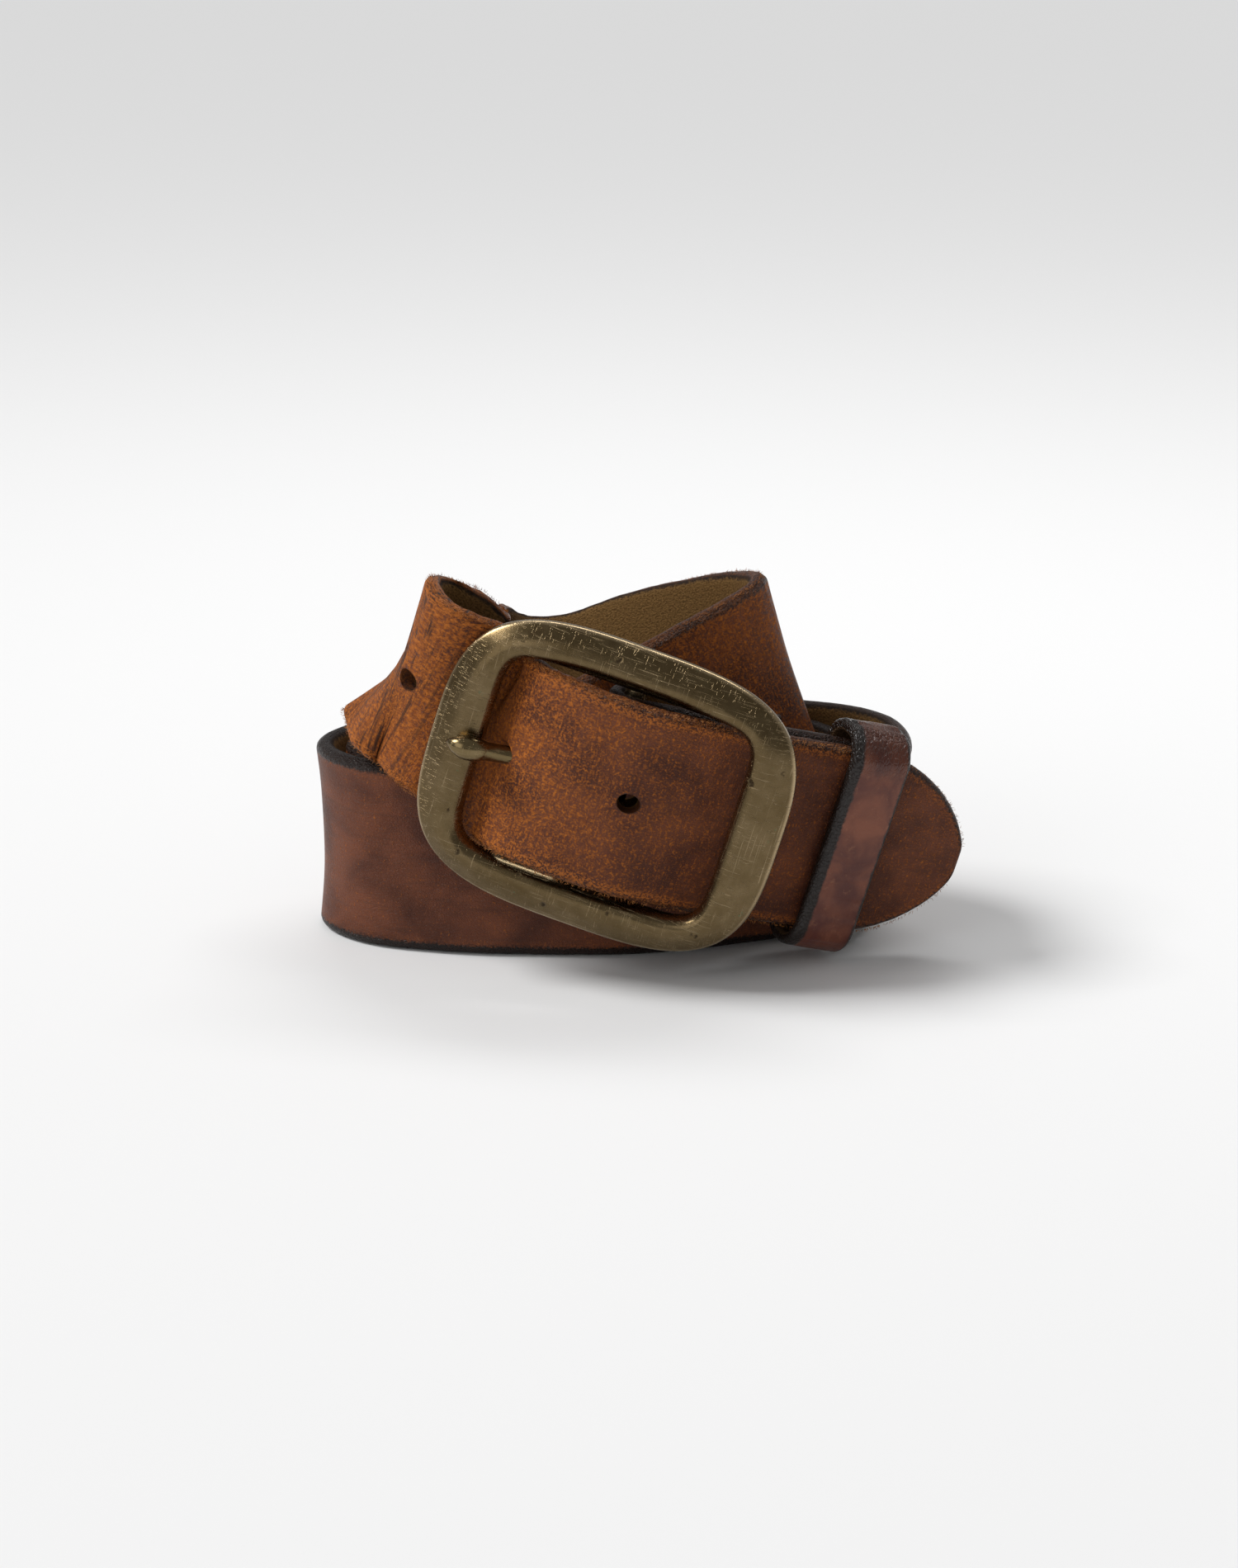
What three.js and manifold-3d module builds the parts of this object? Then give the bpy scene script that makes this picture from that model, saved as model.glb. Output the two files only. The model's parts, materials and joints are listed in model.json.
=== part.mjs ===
// A man's leather belt, rolled up and buckled: one strap of thick harness leather, a cast centre-bar
// buckle with its prong, a sliding keeper loop and the two press studs that hold the fold round the bar.
// Millimetres, +Z up, -Y towards the viewer. The coil stands on its lower edge.
import * as THREE from "three";
import { mergeVertices } from "three/addons/utils/BufferGeometryUtils.js";
import Module from "manifold-3d";

const wasm = await Module();
wasm.setup();

// ---- Driving dimensions -------------------------------------------------------------------------
const STRAP_WIDTH = 38;
const STRAP_THICKNESS = 3.8;
const SKIVED_THICKNESS = 2.4; // the fold is pared down so that it goes round the bar
const LAYER_GAP = 1; // air between neighbouring turns of the coil
const CLEARANCE = 0.3; // between pieces that touch on the real belt

const COIL_LEFT = 59.3; // outer face of the coil's left end, from the middle
const COIL_RIGHT = 45.6; // outer face of its second turn at the right
const COIL_FRONT = 26; // outer face of the front run
const COIL_BACK = 30;

const HOLE_COUNT = 5;
const HOLE_PITCH = 25.4;
const HOLE_DIAMETER = 3.8;
const PRONG_HOLE_NUMBER = 2; // counted from the tip
const TIP_LENGTH = 27; // the rounded point
const TIP_TO_FIRST_HOLE = 72;
const BUCKLE_TO_TIP = 73.5; // how far the tip end reaches past the bar

const FRAME_LENGTH = 70;
const FRAME_HEIGHT = 57;
const FRAME_THICKNESS = 4.5;
const FRAME_RIM = 2; // thickness at the outer edge
const RAIL_WIDTH = 10.2; // the short sides; the long ones follow from the window
const WINDOW_CLEARANCE = 1; // above and below the strap
const BAR_DIAMETER = 4.4;
const BAR_SETBACK = 0.8; // the bar's centre, behind the frame's back face

const PRONG_NECK = 3.6; // diameters
const PRONG_BELLY = 4.8;
const PRONG_EYE_WALL = 1.7;
const PRONG_EYE_WIDTH = 4.6;
const PRONG_OVERHANG = 4.2; // from the prong's point to the frame's outer edge
const PRONG_LIFT = 4; // degrees, the play that the strap's hole leaves
const BUCKLE_TILT = 1.5; // degrees

const KEEPER_WIDTH = 12.5;
const KEEPER_THICKNESS = 2.4;
const KEEPER_SLACK = 1.2; // depth left over round both layers
const KEEPER_HEADROOM = 1.8; // above and below the strap
const KEEPER_CORNER = 5;
const KEEPER_PLACE = 47.7; // middle of the keeper, along the buckle end from the bar
const STAPLE_WIRE = 0.9;
const STAPLE_LENGTH = 7;

const FLAP_LENGTH = 32; // from the bar to the end of the fold
const SLOT_LENGTH = 25; // the slot in the fold that the prong comes out of
const SLOT_WIDTH = 6.4;
const STUD_PLACE = 23; // the press studs, from the bar
const STUD_SPACING = 19;
const STUD_CAP = 10; // diameters
const STUD_FLANGE = 8.6;
const STUD_TUBE = 3.6;
const STUD_GAP = 4; // between the two layers that the studs join

// ---- Where the buckle is, and its own frame -----------------------------------------------------
// In the buckle's frame x runs along its length, y up its bar and z out of its front face.
const BUCKLE_ROLL = THREE.MathUtils.degToRad(17); // its right end hangs down
const BUCKLE_HEADING = THREE.MathUtils.degToRad(-11); // its right end stands out in front
const RUN_HEADING = THREE.MathUtils.degToRad(20); // the buckle end goes back from the bar
const BUCKLE_AT = new THREE.Vector3(-2.5, -36.5, STRAP_WIDTH / 2 + 20);

const slope = new THREE.Vector3(Math.cos(BUCKLE_ROLL), 0, -Math.sin(BUCKLE_ROLL));
const back = new THREE.Vector3(0, 1, 0);
const barDirection = new THREE.Vector3(Math.sin(BUCKLE_ROLL), 0, Math.cos(BUCKLE_ROLL));

// A frame whose x goes along the sloping plane at a heading, y up the bar and z to the front.
function headingMatrix(angle, origin) {
  const along = slope.clone().multiplyScalar(Math.cos(angle)).addScaledVector(back, Math.sin(angle));
  const front = new THREE.Vector3().crossVectors(along, barDirection);
  return new THREE.Matrix4().makeBasis(along, barDirection, front).setPosition(origin);
}

const buckleMatrix = headingMatrix(BUCKLE_HEADING, BUCKLE_AT);
const barCentre = new THREE.Vector3(0, 0, -BAR_SETBACK).applyMatrix4(buckleMatrix);
const runMatrix = headingMatrix(RUN_HEADING, barCentre);
const barRadius = BAR_DIAMETER / 2;
const foldRadius = barRadius + CLEARANCE; // the strap's flesh side, from the bar's centre

// ---- The strap's route --------------------------------------------------------------------------
// Stations along the flesh side of the strap, in order from the end of the fold to the tip: the place
// of the strap's middle, how far its upper edge tilts to the right, and how far it leans back (degrees).
const pitch = STRAP_THICKNESS + LAYER_GAP;
const half = STRAP_WIDTH / 2;
const barTilt = THREE.MathUtils.radToDeg(BUCKLE_ROLL);

function station(matrix, along, out, up = 0, tilt = barTilt) {
  const place = new THREE.Vector3(along, up, out).applyMatrix4(matrix);
  return [place.x, place.y, place.z, tilt, 0];
}
const onRun = (along, out) => station(runMatrix, along, out);
// Inside the buckle it is the grain side that keeps to its place, just behind the rails.
const atBuckle = (along, grain, up, tilt) =>
  station(buckleMatrix, along, grain - STRAP_THICKNESS, up, tilt);
const roundBar = (degrees) => {
  const angle = THREE.MathUtils.degToRad(degrees);
  return onRun(foldRadius * Math.cos(angle), foldRadius * Math.sin(angle));
};

// The faces that the flesh side keeps to, on turn n of the coil counted inwards.
const left = (n) => -COIL_LEFT + STRAP_THICKNESS + n * (pitch + 0.5);
const right = COIL_RIGHT - STRAP_THICKNESS;
const front = (n) => -COIL_FRONT + STRAP_THICKNESS + n * pitch;
const rear = (n) => COIL_BACK - STRAP_THICKNESS - n * pitch;
const railInner = -(FRAME_LENGTH / 2 - RAIL_WIDTH); // the left rail's window side
const keeperEnd = KEEPER_PLACE + KEEPER_WIDTH / 2;
const flapOut = foldRadius - STUD_GAP; // the fold's flesh side
const tipOut = foldRadius + STRAP_THICKNESS + 2 * CLEARANCE; // the tip end lies on the buckle end

const stations = [
  // the fold: back along the run, and round the bar
  onRun(FLAP_LENGTH, flapOut),
  onRun(FLAP_LENGTH * 0.7, flapOut),
  onRun(FLAP_LENGTH * 0.4, flapOut),
  onRun(6, 0.4 - foldRadius),
  roundBar(-100),
  roundBar(-140),
  roundBar(180),
  roundBar(140),
  roundBar(90),
  // the buckle end, straight through the keeper
  onRun(10, foldRadius),
  onRun(22, foldRadius),
  onRun(34, foldRadius),
  onRun(44, foldRadius),
  onRun(keeperEnd - 0.95, foldRadius),
  // the outermost turn
  [49.4, -13.5, half + 4, 14, 0],
  [50.6, -7, half + 3.6, 10, 0],
  [49.6, 1.5, half + 3.1, 6, 0],
  [44.5, 9.5, half + 2.4, 3, 0],
  [35, 16, half + 1.6, 1, 0],
  [21, rear(0) - 4, half + 0.8, 0, 0],
  [4, rear(0) - 0.5, half + 0.2, 0, 0],
  [-12, rear(0) - 0.5, half, 0, 0],
  [-32, rear(0) - 6, half, 0, 0],
  [left(0) + 6.5, 8, half, 0, 0],
  [left(0), -4, half, 0, 0],
  [left(0) + 6.2, -14.2, half, 0, 0],
  [-37, front(0) + 3.2, half, 0, 0],
  [-14, front(0) + 0.6, half, 0, 0],
  [3, front(0) + 1, half, 0, 0],
  [13, front(0) + 3.2, half, 0, 0],
  [22, front(0) + 6.4, half, 0, 0],
  // the second turn: low at the left, then up to the high bend at the right
  [right - 6, -9.5, half, 0, 0],
  [right, -2, half, 0, 0],
  [right - 3.5, 6.5, half, 0, 0],
  [22, rear(1) - 5, half, 0, 0],
  [4, rear(1) - 0.8, half, 0, 0],
  [-12, rear(1) - 0.6, half, 0, 0],
  [-31, rear(1) - 6.5, half, 0, 0],
  [left(1) + 5.8, 4.6, half, 0, 0],
  [left(1) + 0.7, -4, half + 0.2, -3, 0],
  [left(1) + 6.8, -10.6, half + 0.6, -7, 0],
  [-35, front(1) + 3.2, half + 3.6, -14, 0],
  [-18, front(1) + 0.8, half + 10.8, -20, 0],
  [0, -15.5, half + 18.5, -22, 0],
  [16, -10, half + 26, -20, 0],
  [26.6, -3.7, half + 30.5, -18, 0],
  [30.6, 1.7, half + 32.2, -18, 0],
  [27, 7.2, half + 31, -17, 5],
  // the sagging back of the third turn, and up to the high bend at the left
  [17, 11, half + 28.6, -15, 16],
  [4, 13.2, half + 25.6, -13, 28],
  [-8, 13, half + 22.6, -4, 38],
  [-18.5, 8.8, half + 22.6, 10, 32],
  [-27.5, 2, half + 25.8, 21, 13],
  [-34.4, -6, half + 31, 25, -13],
  [-38.1, -11.5, half + 35.9, 25, -28],
  [-39.4, -16.7, half + 37.1, 25, -31],
  [-38.4, -21.6, half + 37.4, 25, -22],
  // over the top of the coil to the front, through the buckle and the keeper
  [-35.4, STRAP_THICKNESS - 28.7, half + 35.4, 24.5, -8],
  [-31.2, STRAP_THICKNESS - 29.3, half + 32.8, 24, 0],
  atBuckle(railInner - 0.7, -2.5, 1.3, 21.5),
  atBuckle(railInner + 4.3, 0.2, 0.1, 18.2),
  atBuckle(railInner + 8.8, 4.8, 0.2, 17.8),
  atBuckle(-11, 7.6, 0.5, 17.3),
  atBuckle(-6, 8.8, 0.6, 17),
  atBuckle(0, 8.9, 0.6, 17),
  atBuckle(7, 8, 0.6, 17),
  atBuckle(13, 5, 0.5, 17),
  onRun(20, tipOut + 1.1),
  onRun(29, tipOut + 0.6),
  onRun(38, tipOut),
  onRun(50, tipOut),
  onRun(62, tipOut),
  onRun(BUCKLE_TO_TIP, tipOut),
];

// Places and leans pass smoothly through the stations, at the same parameter.
const places = new THREE.CatmullRomCurve3(
  stations.map(([x, y, z]) => new THREE.Vector3(x, y, z)), false, "centripetal");
const leans = new THREE.CatmullRomCurve3(
  stations.map(([, , , tilt, lean]) => new THREE.Vector3(tilt, lean, 0)), false, "catmullrom", 0.5);

const SAMPLES_PER_STATION = 40;
const samples = [];
for (let i = 0; i <= (stations.length - 1) * SAMPLES_PER_STATION; i++) {
  const t = i / ((stations.length - 1) * SAMPLES_PER_STATION);
  const place = places.getPoint(t);
  const before = samples[i - 1];
  samples.push({ t, place, length: before ? before.length + place.distanceTo(before.place) : 0 });
}
const routeLength = samples[samples.length - 1].length;

function parameterAt(distance) {
  const after = Math.max(1, samples.findIndex((sample) => sample.length >= distance - 1e-9));
  const a = samples[after - 1];
  const b = samples[after];
  return a.t + (b.t - a.t) * ((distance - a.length) / (b.length - a.length));
}

// The strap's frame at a distance along it: forwards, up its width, and out of its grain side.
function strapFrame(distance) {
  const t = parameterAt(THREE.MathUtils.clamp(distance, 0, routeLength));
  const forwards = places.getTangent(t);
  const lean = leans.getPoint(t);
  const tilt = THREE.MathUtils.degToRad(lean.x);
  const rise = THREE.MathUtils.degToRad(lean.y);
  const up = new THREE.Vector3(Math.sin(tilt), Math.sin(rise), Math.cos(tilt) * Math.cos(rise));
  up.addScaledVector(forwards, -up.dot(forwards)).normalize();
  const out = new THREE.Vector3().crossVectors(forwards, up);
  const place = places.getPoint(t);
  // Nothing reaches below the surface that the coil stands on.
  place.z = Math.max(place.z, half * up.z + STRAP_THICKNESS * Math.max(0, -out.z));
  return { place, forwards, up, out };
}

// ---- Solids -------------------------------------------------------------------------------------
function solid(geometry) {
  const bare = geometry.clone();
  bare.deleteAttribute("normal");
  bare.deleteAttribute("uv");
  const merged = mergeVertices(bare, 1e-4);
  return new wasm.Manifold(new wasm.Mesh({
    numProp: 3,
    vertProperties: new Float32Array(merged.attributes.position.array),
    triVerts: new Uint32Array(merged.index.array),
  }));
}

function geometryOf(manifold) {
  const { vertProperties, triVerts } = manifold.getMesh();
  const geometry = new THREE.BufferGeometry();
  geometry.setAttribute("position", new THREE.BufferAttribute(new Float32Array(vertProperties), 3));
  geometry.setIndex(new THREE.BufferAttribute(new Uint32Array(triVerts), 1));
  geometry.computeVertexNormals();
  return geometry;
}

const moved = (geometry, matrix) => geometry.clone().applyMatrix4(matrix);

// A round bar between two points.
function barBetween(from, to, radius, sides = 16) {
  const length = from.distanceTo(to);
  const direction = to.clone().sub(from).divideScalar(length);
  const turn = new THREE.Quaternion().setFromUnitVectors(new THREE.Vector3(0, 1, 0), direction);
  const middle = from.clone().lerp(to, 0.5);
  return new THREE.CylinderGeometry(radius, radius, length, sides)
    .applyQuaternion(turn)
    .translate(middle.x, middle.y, middle.z);
}

// A turned piece from its half outline (radius, height), closed on itself or on the axis.
const turned = (outline, sides = 28) =>
  new THREE.LatheGeometry(outline.map(([r, h]) => new THREE.Vector2(r, h)), sides);

const leather = (color) => new THREE.MeshStandardMaterial({ color, roughness: 0.7, metalness: 0 });
const metal = (color) => new THREE.MeshStandardMaterial({ color, roughness: 0.4, metalness: 1 });

const belt = new THREE.Group();

function addPiece(name, geometry, material, parent = belt) {
  const mesh = new THREE.Mesh(geometry, material);
  mesh.name = name;
  parent.add(mesh);
  return mesh;
}

// ---- The prong ----------------------------------------------------------------------------------
// It turns on the bar and rests on the left rail, in the buckle's frame.
const eyeRadius = barRadius + CLEARANCE + 0.05;
const barAxis = new THREE.Vector3(0, 0, -BAR_SETBACK);
const prongHole = BUCKLE_TO_TIP - TIP_TO_FIRST_HOLE - (PRONG_HOLE_NUMBER - 1) * HOLE_PITCH;
const prongPoint = -FRAME_LENGTH / 2 + PRONG_OVERHANG;
const restHeight = FRAME_THICKNESS + CLEARANCE + PRONG_BELLY / 2;
const prongRoute = new THREE.CatmullRomCurve3([
  new THREE.Vector3(-3.5, 0, 0.7),
  new THREE.Vector3(-10, 0, 1.1),
  new THREE.Vector3(-15.5, 0, 1.7),
  new THREE.Vector3(prongHole + 4.1, 0, 2.9),
  new THREE.Vector3(prongHole + 0.6, 0, 5.1),
  new THREE.Vector3((railInner + prongPoint) / 2, 0, restHeight + 0.1),
  new THREE.Vector3(prongPoint, 0, restHeight - 0.4),
]);

// A shaft that follows the prong's route, from its half outline (radius, share of the length).
function prongShaft(outline, sides) {
  const shaft = turned(outline, sides);
  const position = shaft.attributes.position;
  const side = new THREE.Vector3(0, 1, 0);
  for (let i = 0; i < position.count; i++) {
    const share = position.getY(i);
    const place = prongRoute.getPointAt(share);
    const normal = new THREE.Vector3().crossVectors(side, prongRoute.getTangentAt(share));
    place.addScaledVector(side, position.getX(i)).addScaledVector(normal, position.getZ(i));
    position.setXYZ(i, place.x, place.y, place.z);
  }
  return shaft;
}

const neck = PRONG_NECK / 2;
const belly = PRONG_BELLY / 2;
const prongOutline = [
  [0, 0], [neck * 0.8, 0], [neck, 0.08], [neck, 0.25], [neck, 0.4], [neck, 0.55], [neck, 0.7],
  [belly * 0.92, 0.8], [belly, 0.87], [belly * 0.8, 0.93], [belly * 0.4, 0.975], [0, 1],
];
const eyeOutside = eyeRadius + PRONG_EYE_WALL;
const eye = barBetween(
  new THREE.Vector3(0, -PRONG_EYE_WIDTH / 2, -BAR_SETBACK),
  new THREE.Vector3(0, PRONG_EYE_WIDTH / 2, -BAR_SETBACK), eyeOutside, 28);
const eyeBore = barBetween(
  new THREE.Vector3(0, -PRONG_EYE_WIDTH, -BAR_SETBACK),
  new THREE.Vector3(0, PRONG_EYE_WIDTH, -BAR_SETBACK), eyeRadius, 24);
const prong = geometryOf(solid(prongShaft(prongOutline, 18)).add(solid(eye)).subtract(solid(eyeBore)));

// ---- The strap ----------------------------------------------------------------------------------
const flapRouteLength = FLAP_LENGTH + Math.PI * foldRadius;

// Thickness at a distance along the strap: thin in the fold, full from beyond the bar.
function thicknessAt(distance) {
  const share = THREE.MathUtils.smoothstep(distance, flapRouteLength + 4, flapRouteLength + 18);
  return THREE.MathUtils.lerp(SKIVED_THICKNESS, STRAP_THICKNESS, share);
}

// Half the width: full, and rounded to a blunt point at the tip.
function halfWidthAt(distance) {
  const share = THREE.MathUtils.clamp((distance - (routeLength - TIP_LENGTH)) / TIP_LENGTH, 0, 1);
  return half * Math.max(0.06, (1 - share ** 2.1) ** 0.62);
}

// Cuts across the strap, closer together in the bends and at the tip.
function cutsAlongStrap() {
  const cuts = [0];
  while (cuts[cuts.length - 1] < routeLength - 0.4) {
    const at = cuts[cuts.length - 1];
    const here = strapFrame(at).forwards;
    const bend = strapFrame(at + 1).forwards.angleTo(here);
    const widest = at > routeLength - TIP_LENGTH - 4 ? 0.2 + 0.12 * (routeLength - at) : 5;
    cuts.push(at + THREE.MathUtils.clamp(0.13 / (bend + 0.001), 0.9, widest));
  }
  cuts[cuts.length - 1] = routeLength;
  return cuts;
}

const cuts = cutsAlongStrap();
const strapBlank = new THREE.BoxGeometry(1, 1, 1, cuts.length - 1, 1, 1);
{
  const position = strapBlank.attributes.position;
  for (let i = 0; i < position.count; i++) {
    const distance = cuts[Math.round((position.getX(i) + 0.5) * (cuts.length - 1))];
    const { place, up, out } = strapFrame(distance);
    place.addScaledVector(up, 2 * position.getY(i) * halfWidthAt(distance));
    place.addScaledVector(out, (0.5 - position.getZ(i)) * -thicknessAt(distance) + thicknessAt(distance));
    position.setXYZ(i, place.x, place.y, place.z);
  }
}

const firstHole = routeLength - TIP_TO_FIRST_HOLE;
const holeDistances = Array.from({ length: HOLE_COUNT }, (_, i) => firstHole - i * HOLE_PITCH);

// A punch straight through the strap at a distance along it, offset up its width.
function punch(distance, offset, diameter, sides = 16) {
  const { place, up, out } = strapFrame(distance);
  const middle = place.clone().addScaledVector(up, offset);
  return barBetween(
    middle.clone().addScaledVector(out, -1),
    middle.clone().addScaledVector(out, thicknessAt(distance) + 1), diameter / 2, sides);
}

let strap = solid(strapBlank);
holeDistances.forEach((distance, i) => {
  if (i + 1 !== PRONG_HOLE_NUMBER) strap = strap.subtract(solid(punch(distance, 0, HOLE_DIAMETER)));
});

// The prong's passage is as long as its play, from the rest to the most that it and the buckle turn.
const passageOutline = [[0, 0.2], [neck + 0.45, 0.2], [neck + 0.45, 0.32], [neck + 0.45, 0.45], [neck + 0.45, 0.6],
  [neck + 0.45, 0.74], [belly + 0.4, 0.84], [belly + 0.4, 0.92], [0, 0.92]];
const passage = prongShaft(passageOutline, 14);
for (const lift of [-BUCKLE_TILT / 4, PRONG_LIFT / 2, PRONG_LIFT, PRONG_LIFT + BUCKLE_TILT]) {
  const turn = new THREE.Matrix4().makeTranslation(barAxis)
    .multiply(new THREE.Matrix4().makeRotationY(THREE.MathUtils.degToRad(lift)))
    .multiply(new THREE.Matrix4().makeTranslation(barAxis.clone().negate()));
  strap = strap.subtract(solid(moved(moved(passage, turn), buckleMatrix)));
}

// The slot in the fold, straight through both sides round the bar.
const slotReach = SLOT_LENGTH / 2 - Math.PI * foldRadius / 2;
const slot = new THREE.BoxGeometry(slotReach + 8, SLOT_WIDTH, 2 * (foldRadius + SKIVED_THICKNESS) + 1.4);
strap = strap.subtract(solid(moved(slot.translate((slotReach - 8) / 2, 0, -0.4), runMatrix)));

// The press studs' holes, through the buckle end and the fold.
const studPlaces = [-STUD_SPACING / 2, STUD_SPACING / 2];
for (const up of studPlaces) {
  const from = new THREE.Vector3(STUD_PLACE, up, flapOut - SKIVED_THICKNESS - 2).applyMatrix4(runMatrix);
  const to = new THREE.Vector3(STUD_PLACE, up, tipOut - CLEARANCE).applyMatrix4(runMatrix);
  strap = strap.subtract(solid(barBetween(from, to, STUD_TUBE / 2 + CLEARANCE)));
}
addPiece("strap", geometryOf(strap), leather(0x8a4b28));

// ---- The buckle ---------------------------------------------------------------------------------
const buckle = new THREE.Group();
buckle.applyMatrix4(buckleMatrix);
belt.add(buckle);

const windowHalfHeight = half + WINDOW_CLEARANCE;

// How far a rounded rectangle reaches from its middle in a direction: the power squares its corners.
const reach = (angle, halfLength, halfHeight, power) =>
  (Math.abs(Math.cos(angle) / halfLength) ** power + Math.abs(Math.sin(angle) / halfHeight) ** power)
  ** (-1 / power);

// The rail's section, from the outer rim over the crown to the window: (share across, height).
const railSection = [
  [0.01, 0.4], [0, FRAME_RIM * 0.6], [0.05, FRAME_RIM], [0.22, FRAME_THICKNESS * 0.72],
  [0.42, FRAME_THICKNESS * 0.92], [0.62, FRAME_THICKNESS], [0.82, FRAME_THICKNESS * 0.93],
  [0.95, FRAME_THICKNESS * 0.72], [1, FRAME_THICKNESS * 0.45], [1, 0.4], [0.97, 0], [0.04, 0],
];
const AROUND = 88;
const frameRing = new THREE.TorusGeometry(2, 1, railSection.length, AROUND);
{
  const position = frameRing.attributes.position;
  for (let i = 0; i < position.count; i++) {
    const angle = (2 * Math.PI * (i % (AROUND + 1))) / AROUND;
    const [share, height] = railSection[Math.floor(i / (AROUND + 1)) % railSection.length];
    const outer = reach(angle, FRAME_LENGTH / 2, FRAME_HEIGHT / 2, 3.3);
    const inner = reach(angle, FRAME_LENGTH / 2 - RAIL_WIDTH, windowHalfHeight, 9);
    const distance = THREE.MathUtils.lerp(outer, inner, share);
    const x = distance * Math.cos(angle);
    const y = distance * Math.sin(angle);
    position.setXYZ(i, x, y, height);
  }
}
const barEnd = windowHalfHeight + (FRAME_HEIGHT / 2 - windowHalfHeight) * 0.6;
const bar = barBetween(
  new THREE.Vector3(0, -barEnd, -BAR_SETBACK), new THREE.Vector3(0, barEnd, -BAR_SETBACK), barRadius, 24);
addPiece("buckle_frame", geometryOf(solid(frameRing).add(solid(bar))), metal(0x8f7a58), buckle);
addPiece("prong", prong, metal(0x9b8560), buckle);

// ---- The keeper loop ----------------------------------------------------------------------------
const run = new THREE.Group();
run.applyMatrix4(runMatrix);
belt.add(run);

// A rounded rectangle standing across the run: x is the depth, y the height.
function roundedRectangle(Outline, depth, height, corner) {
  const [x, y, r] = [depth / 2, height / 2, Math.min(corner, depth / 2 - 0.05)];
  const quarter = Math.PI / 2;
  return new Outline()
    .moveTo(-x + r, -y)
    .absarc(x - r, -y + r, r, -quarter, 0)
    .absarc(x - r, y - r, r, 0, quarter)
    .absarc(-x + r, y - r, r, quarter, 2 * quarter)
    .absarc(-x + r, -y + r, r, 2 * quarter, 3 * quarter);
}

const keeperBack = foldRadius - CLEARANCE - KEEPER_SLACK / 2; // the loop's inner faces
const keeperFront = tipOut + STRAP_THICKNESS + CLEARANCE + KEEPER_SLACK / 2;
const keeperDepth = keeperFront - keeperBack;
const keeperHeight = STRAP_WIDTH + 2 * KEEPER_HEADROOM;
const loopOutline = roundedRectangle(THREE.Shape,
  keeperDepth + 2 * KEEPER_THICKNESS, keeperHeight + 2 * KEEPER_THICKNESS, KEEPER_CORNER);
loopOutline.holes.push(roundedRectangle(THREE.Path,
  keeperDepth, keeperHeight, KEEPER_CORNER - KEEPER_THICKNESS));
const keeperMatrix = new THREE.Matrix4()
  .makeRotationY(Math.PI / 2)
  .setPosition(KEEPER_PLACE, 0, (keeperBack + keeperFront) / 2);
const loop = new THREE.ExtrudeGeometry(loopOutline,
  { depth: KEEPER_WIDTH, bevelEnabled: false, curveSegments: 6 })
  .translate(0, 0, -KEEPER_WIDTH / 2)
  .applyMatrix4(keeperMatrix);

// The staple that closes the loop: its crown lies outside the back wall and its legs go through it.
const crownOut = keeperBack - KEEPER_THICKNESS - CLEARANCE - STAPLE_WIRE / 2;
const legEnd = keeperBack - CLEARANCE;
const [lowLeg, highLeg] = [-STAPLE_LENGTH / 2, STAPLE_LENGTH / 2];
const legBar = (y, radius, end) => barBetween(
  new THREE.Vector3(KEEPER_PLACE, y, crownOut), new THREE.Vector3(KEEPER_PLACE, y, end), radius, 10);
const crown = barBetween(
  new THREE.Vector3(KEEPER_PLACE, lowLeg - STAPLE_WIRE / 2, crownOut),
  new THREE.Vector3(KEEPER_PLACE, highLeg + STAPLE_WIRE / 2, crownOut), STAPLE_WIRE / 2, 10);
const staple = solid(crown)
  .add(solid(legBar(lowLeg, STAPLE_WIRE / 2, legEnd)))
  .add(solid(legBar(highLeg, STAPLE_WIRE / 2, legEnd)));
const legHole = (y) => solid(legBar(y, STAPLE_WIRE / 2 + CLEARANCE, keeperBack + CLEARANCE));
addPiece("keeper_loop",
  geometryOf(solid(loop).subtract(legHole(lowLeg)).subtract(legHole(highLeg))), leather(0x6b3520), run);
addPiece("keeper_staple", geometryOf(staple), metal(0xa8a49a), run);

// ---- The press studs ----------------------------------------------------------------------------
// Each joins the fold to the buckle end: cap and socket on the buckle end, stud and post on the fold.
// Half outlines run along the stud's axis, which is the run's z.
const cap = STUD_CAP / 2;
const flange = STUD_FLANGE / 2;
const tube = STUD_TUBE / 2;
const mainFace = foldRadius + STRAP_THICKNESS + CLEARANCE; // on the buckle end's grain side
const socketTop = foldRadius - CLEARANCE;
const studFoot = flapOut + CLEARANCE;
const postFace = flapOut - SKIVED_THICKNESS - CLEARANCE;
const middleGap = (socketTop + studFoot) / 2;
const studPieces = {
  cap: [[0, socketTop - 0.9], [tube, socketTop - 0.9], [tube, mainFace], [cap, mainFace],
    [cap, mainFace + 0.4], [cap * 0.7, mainFace + 0.75], [0, mainFace + 0.85]],
  socket: [[tube + CLEARANCE, socketTop], [tube + CLEARANCE, middleGap + 0.15],
    [flange * 0.8, middleGap + 0.15], [flange, middleGap + 0.55], [flange, socketTop]],
  stud: [[0.8 + CLEARANCE, studFoot], [flange, studFoot], [flange, studFoot + 0.7],
    [flange * 0.6, middleGap - 0.15], [0.8 + CLEARANCE, middleGap - 0.15]],
  post: [[0, postFace - 0.8], [flange * 0.9, postFace - 0.8], [flange, postFace - 0.4],
    [flange, postFace], [0.8, postFace], [0.8, middleGap - 0.3], [0, middleGap - 0.3]],
};
const studAxis = new THREE.Matrix4().makeRotationX(Math.PI / 2);
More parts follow.
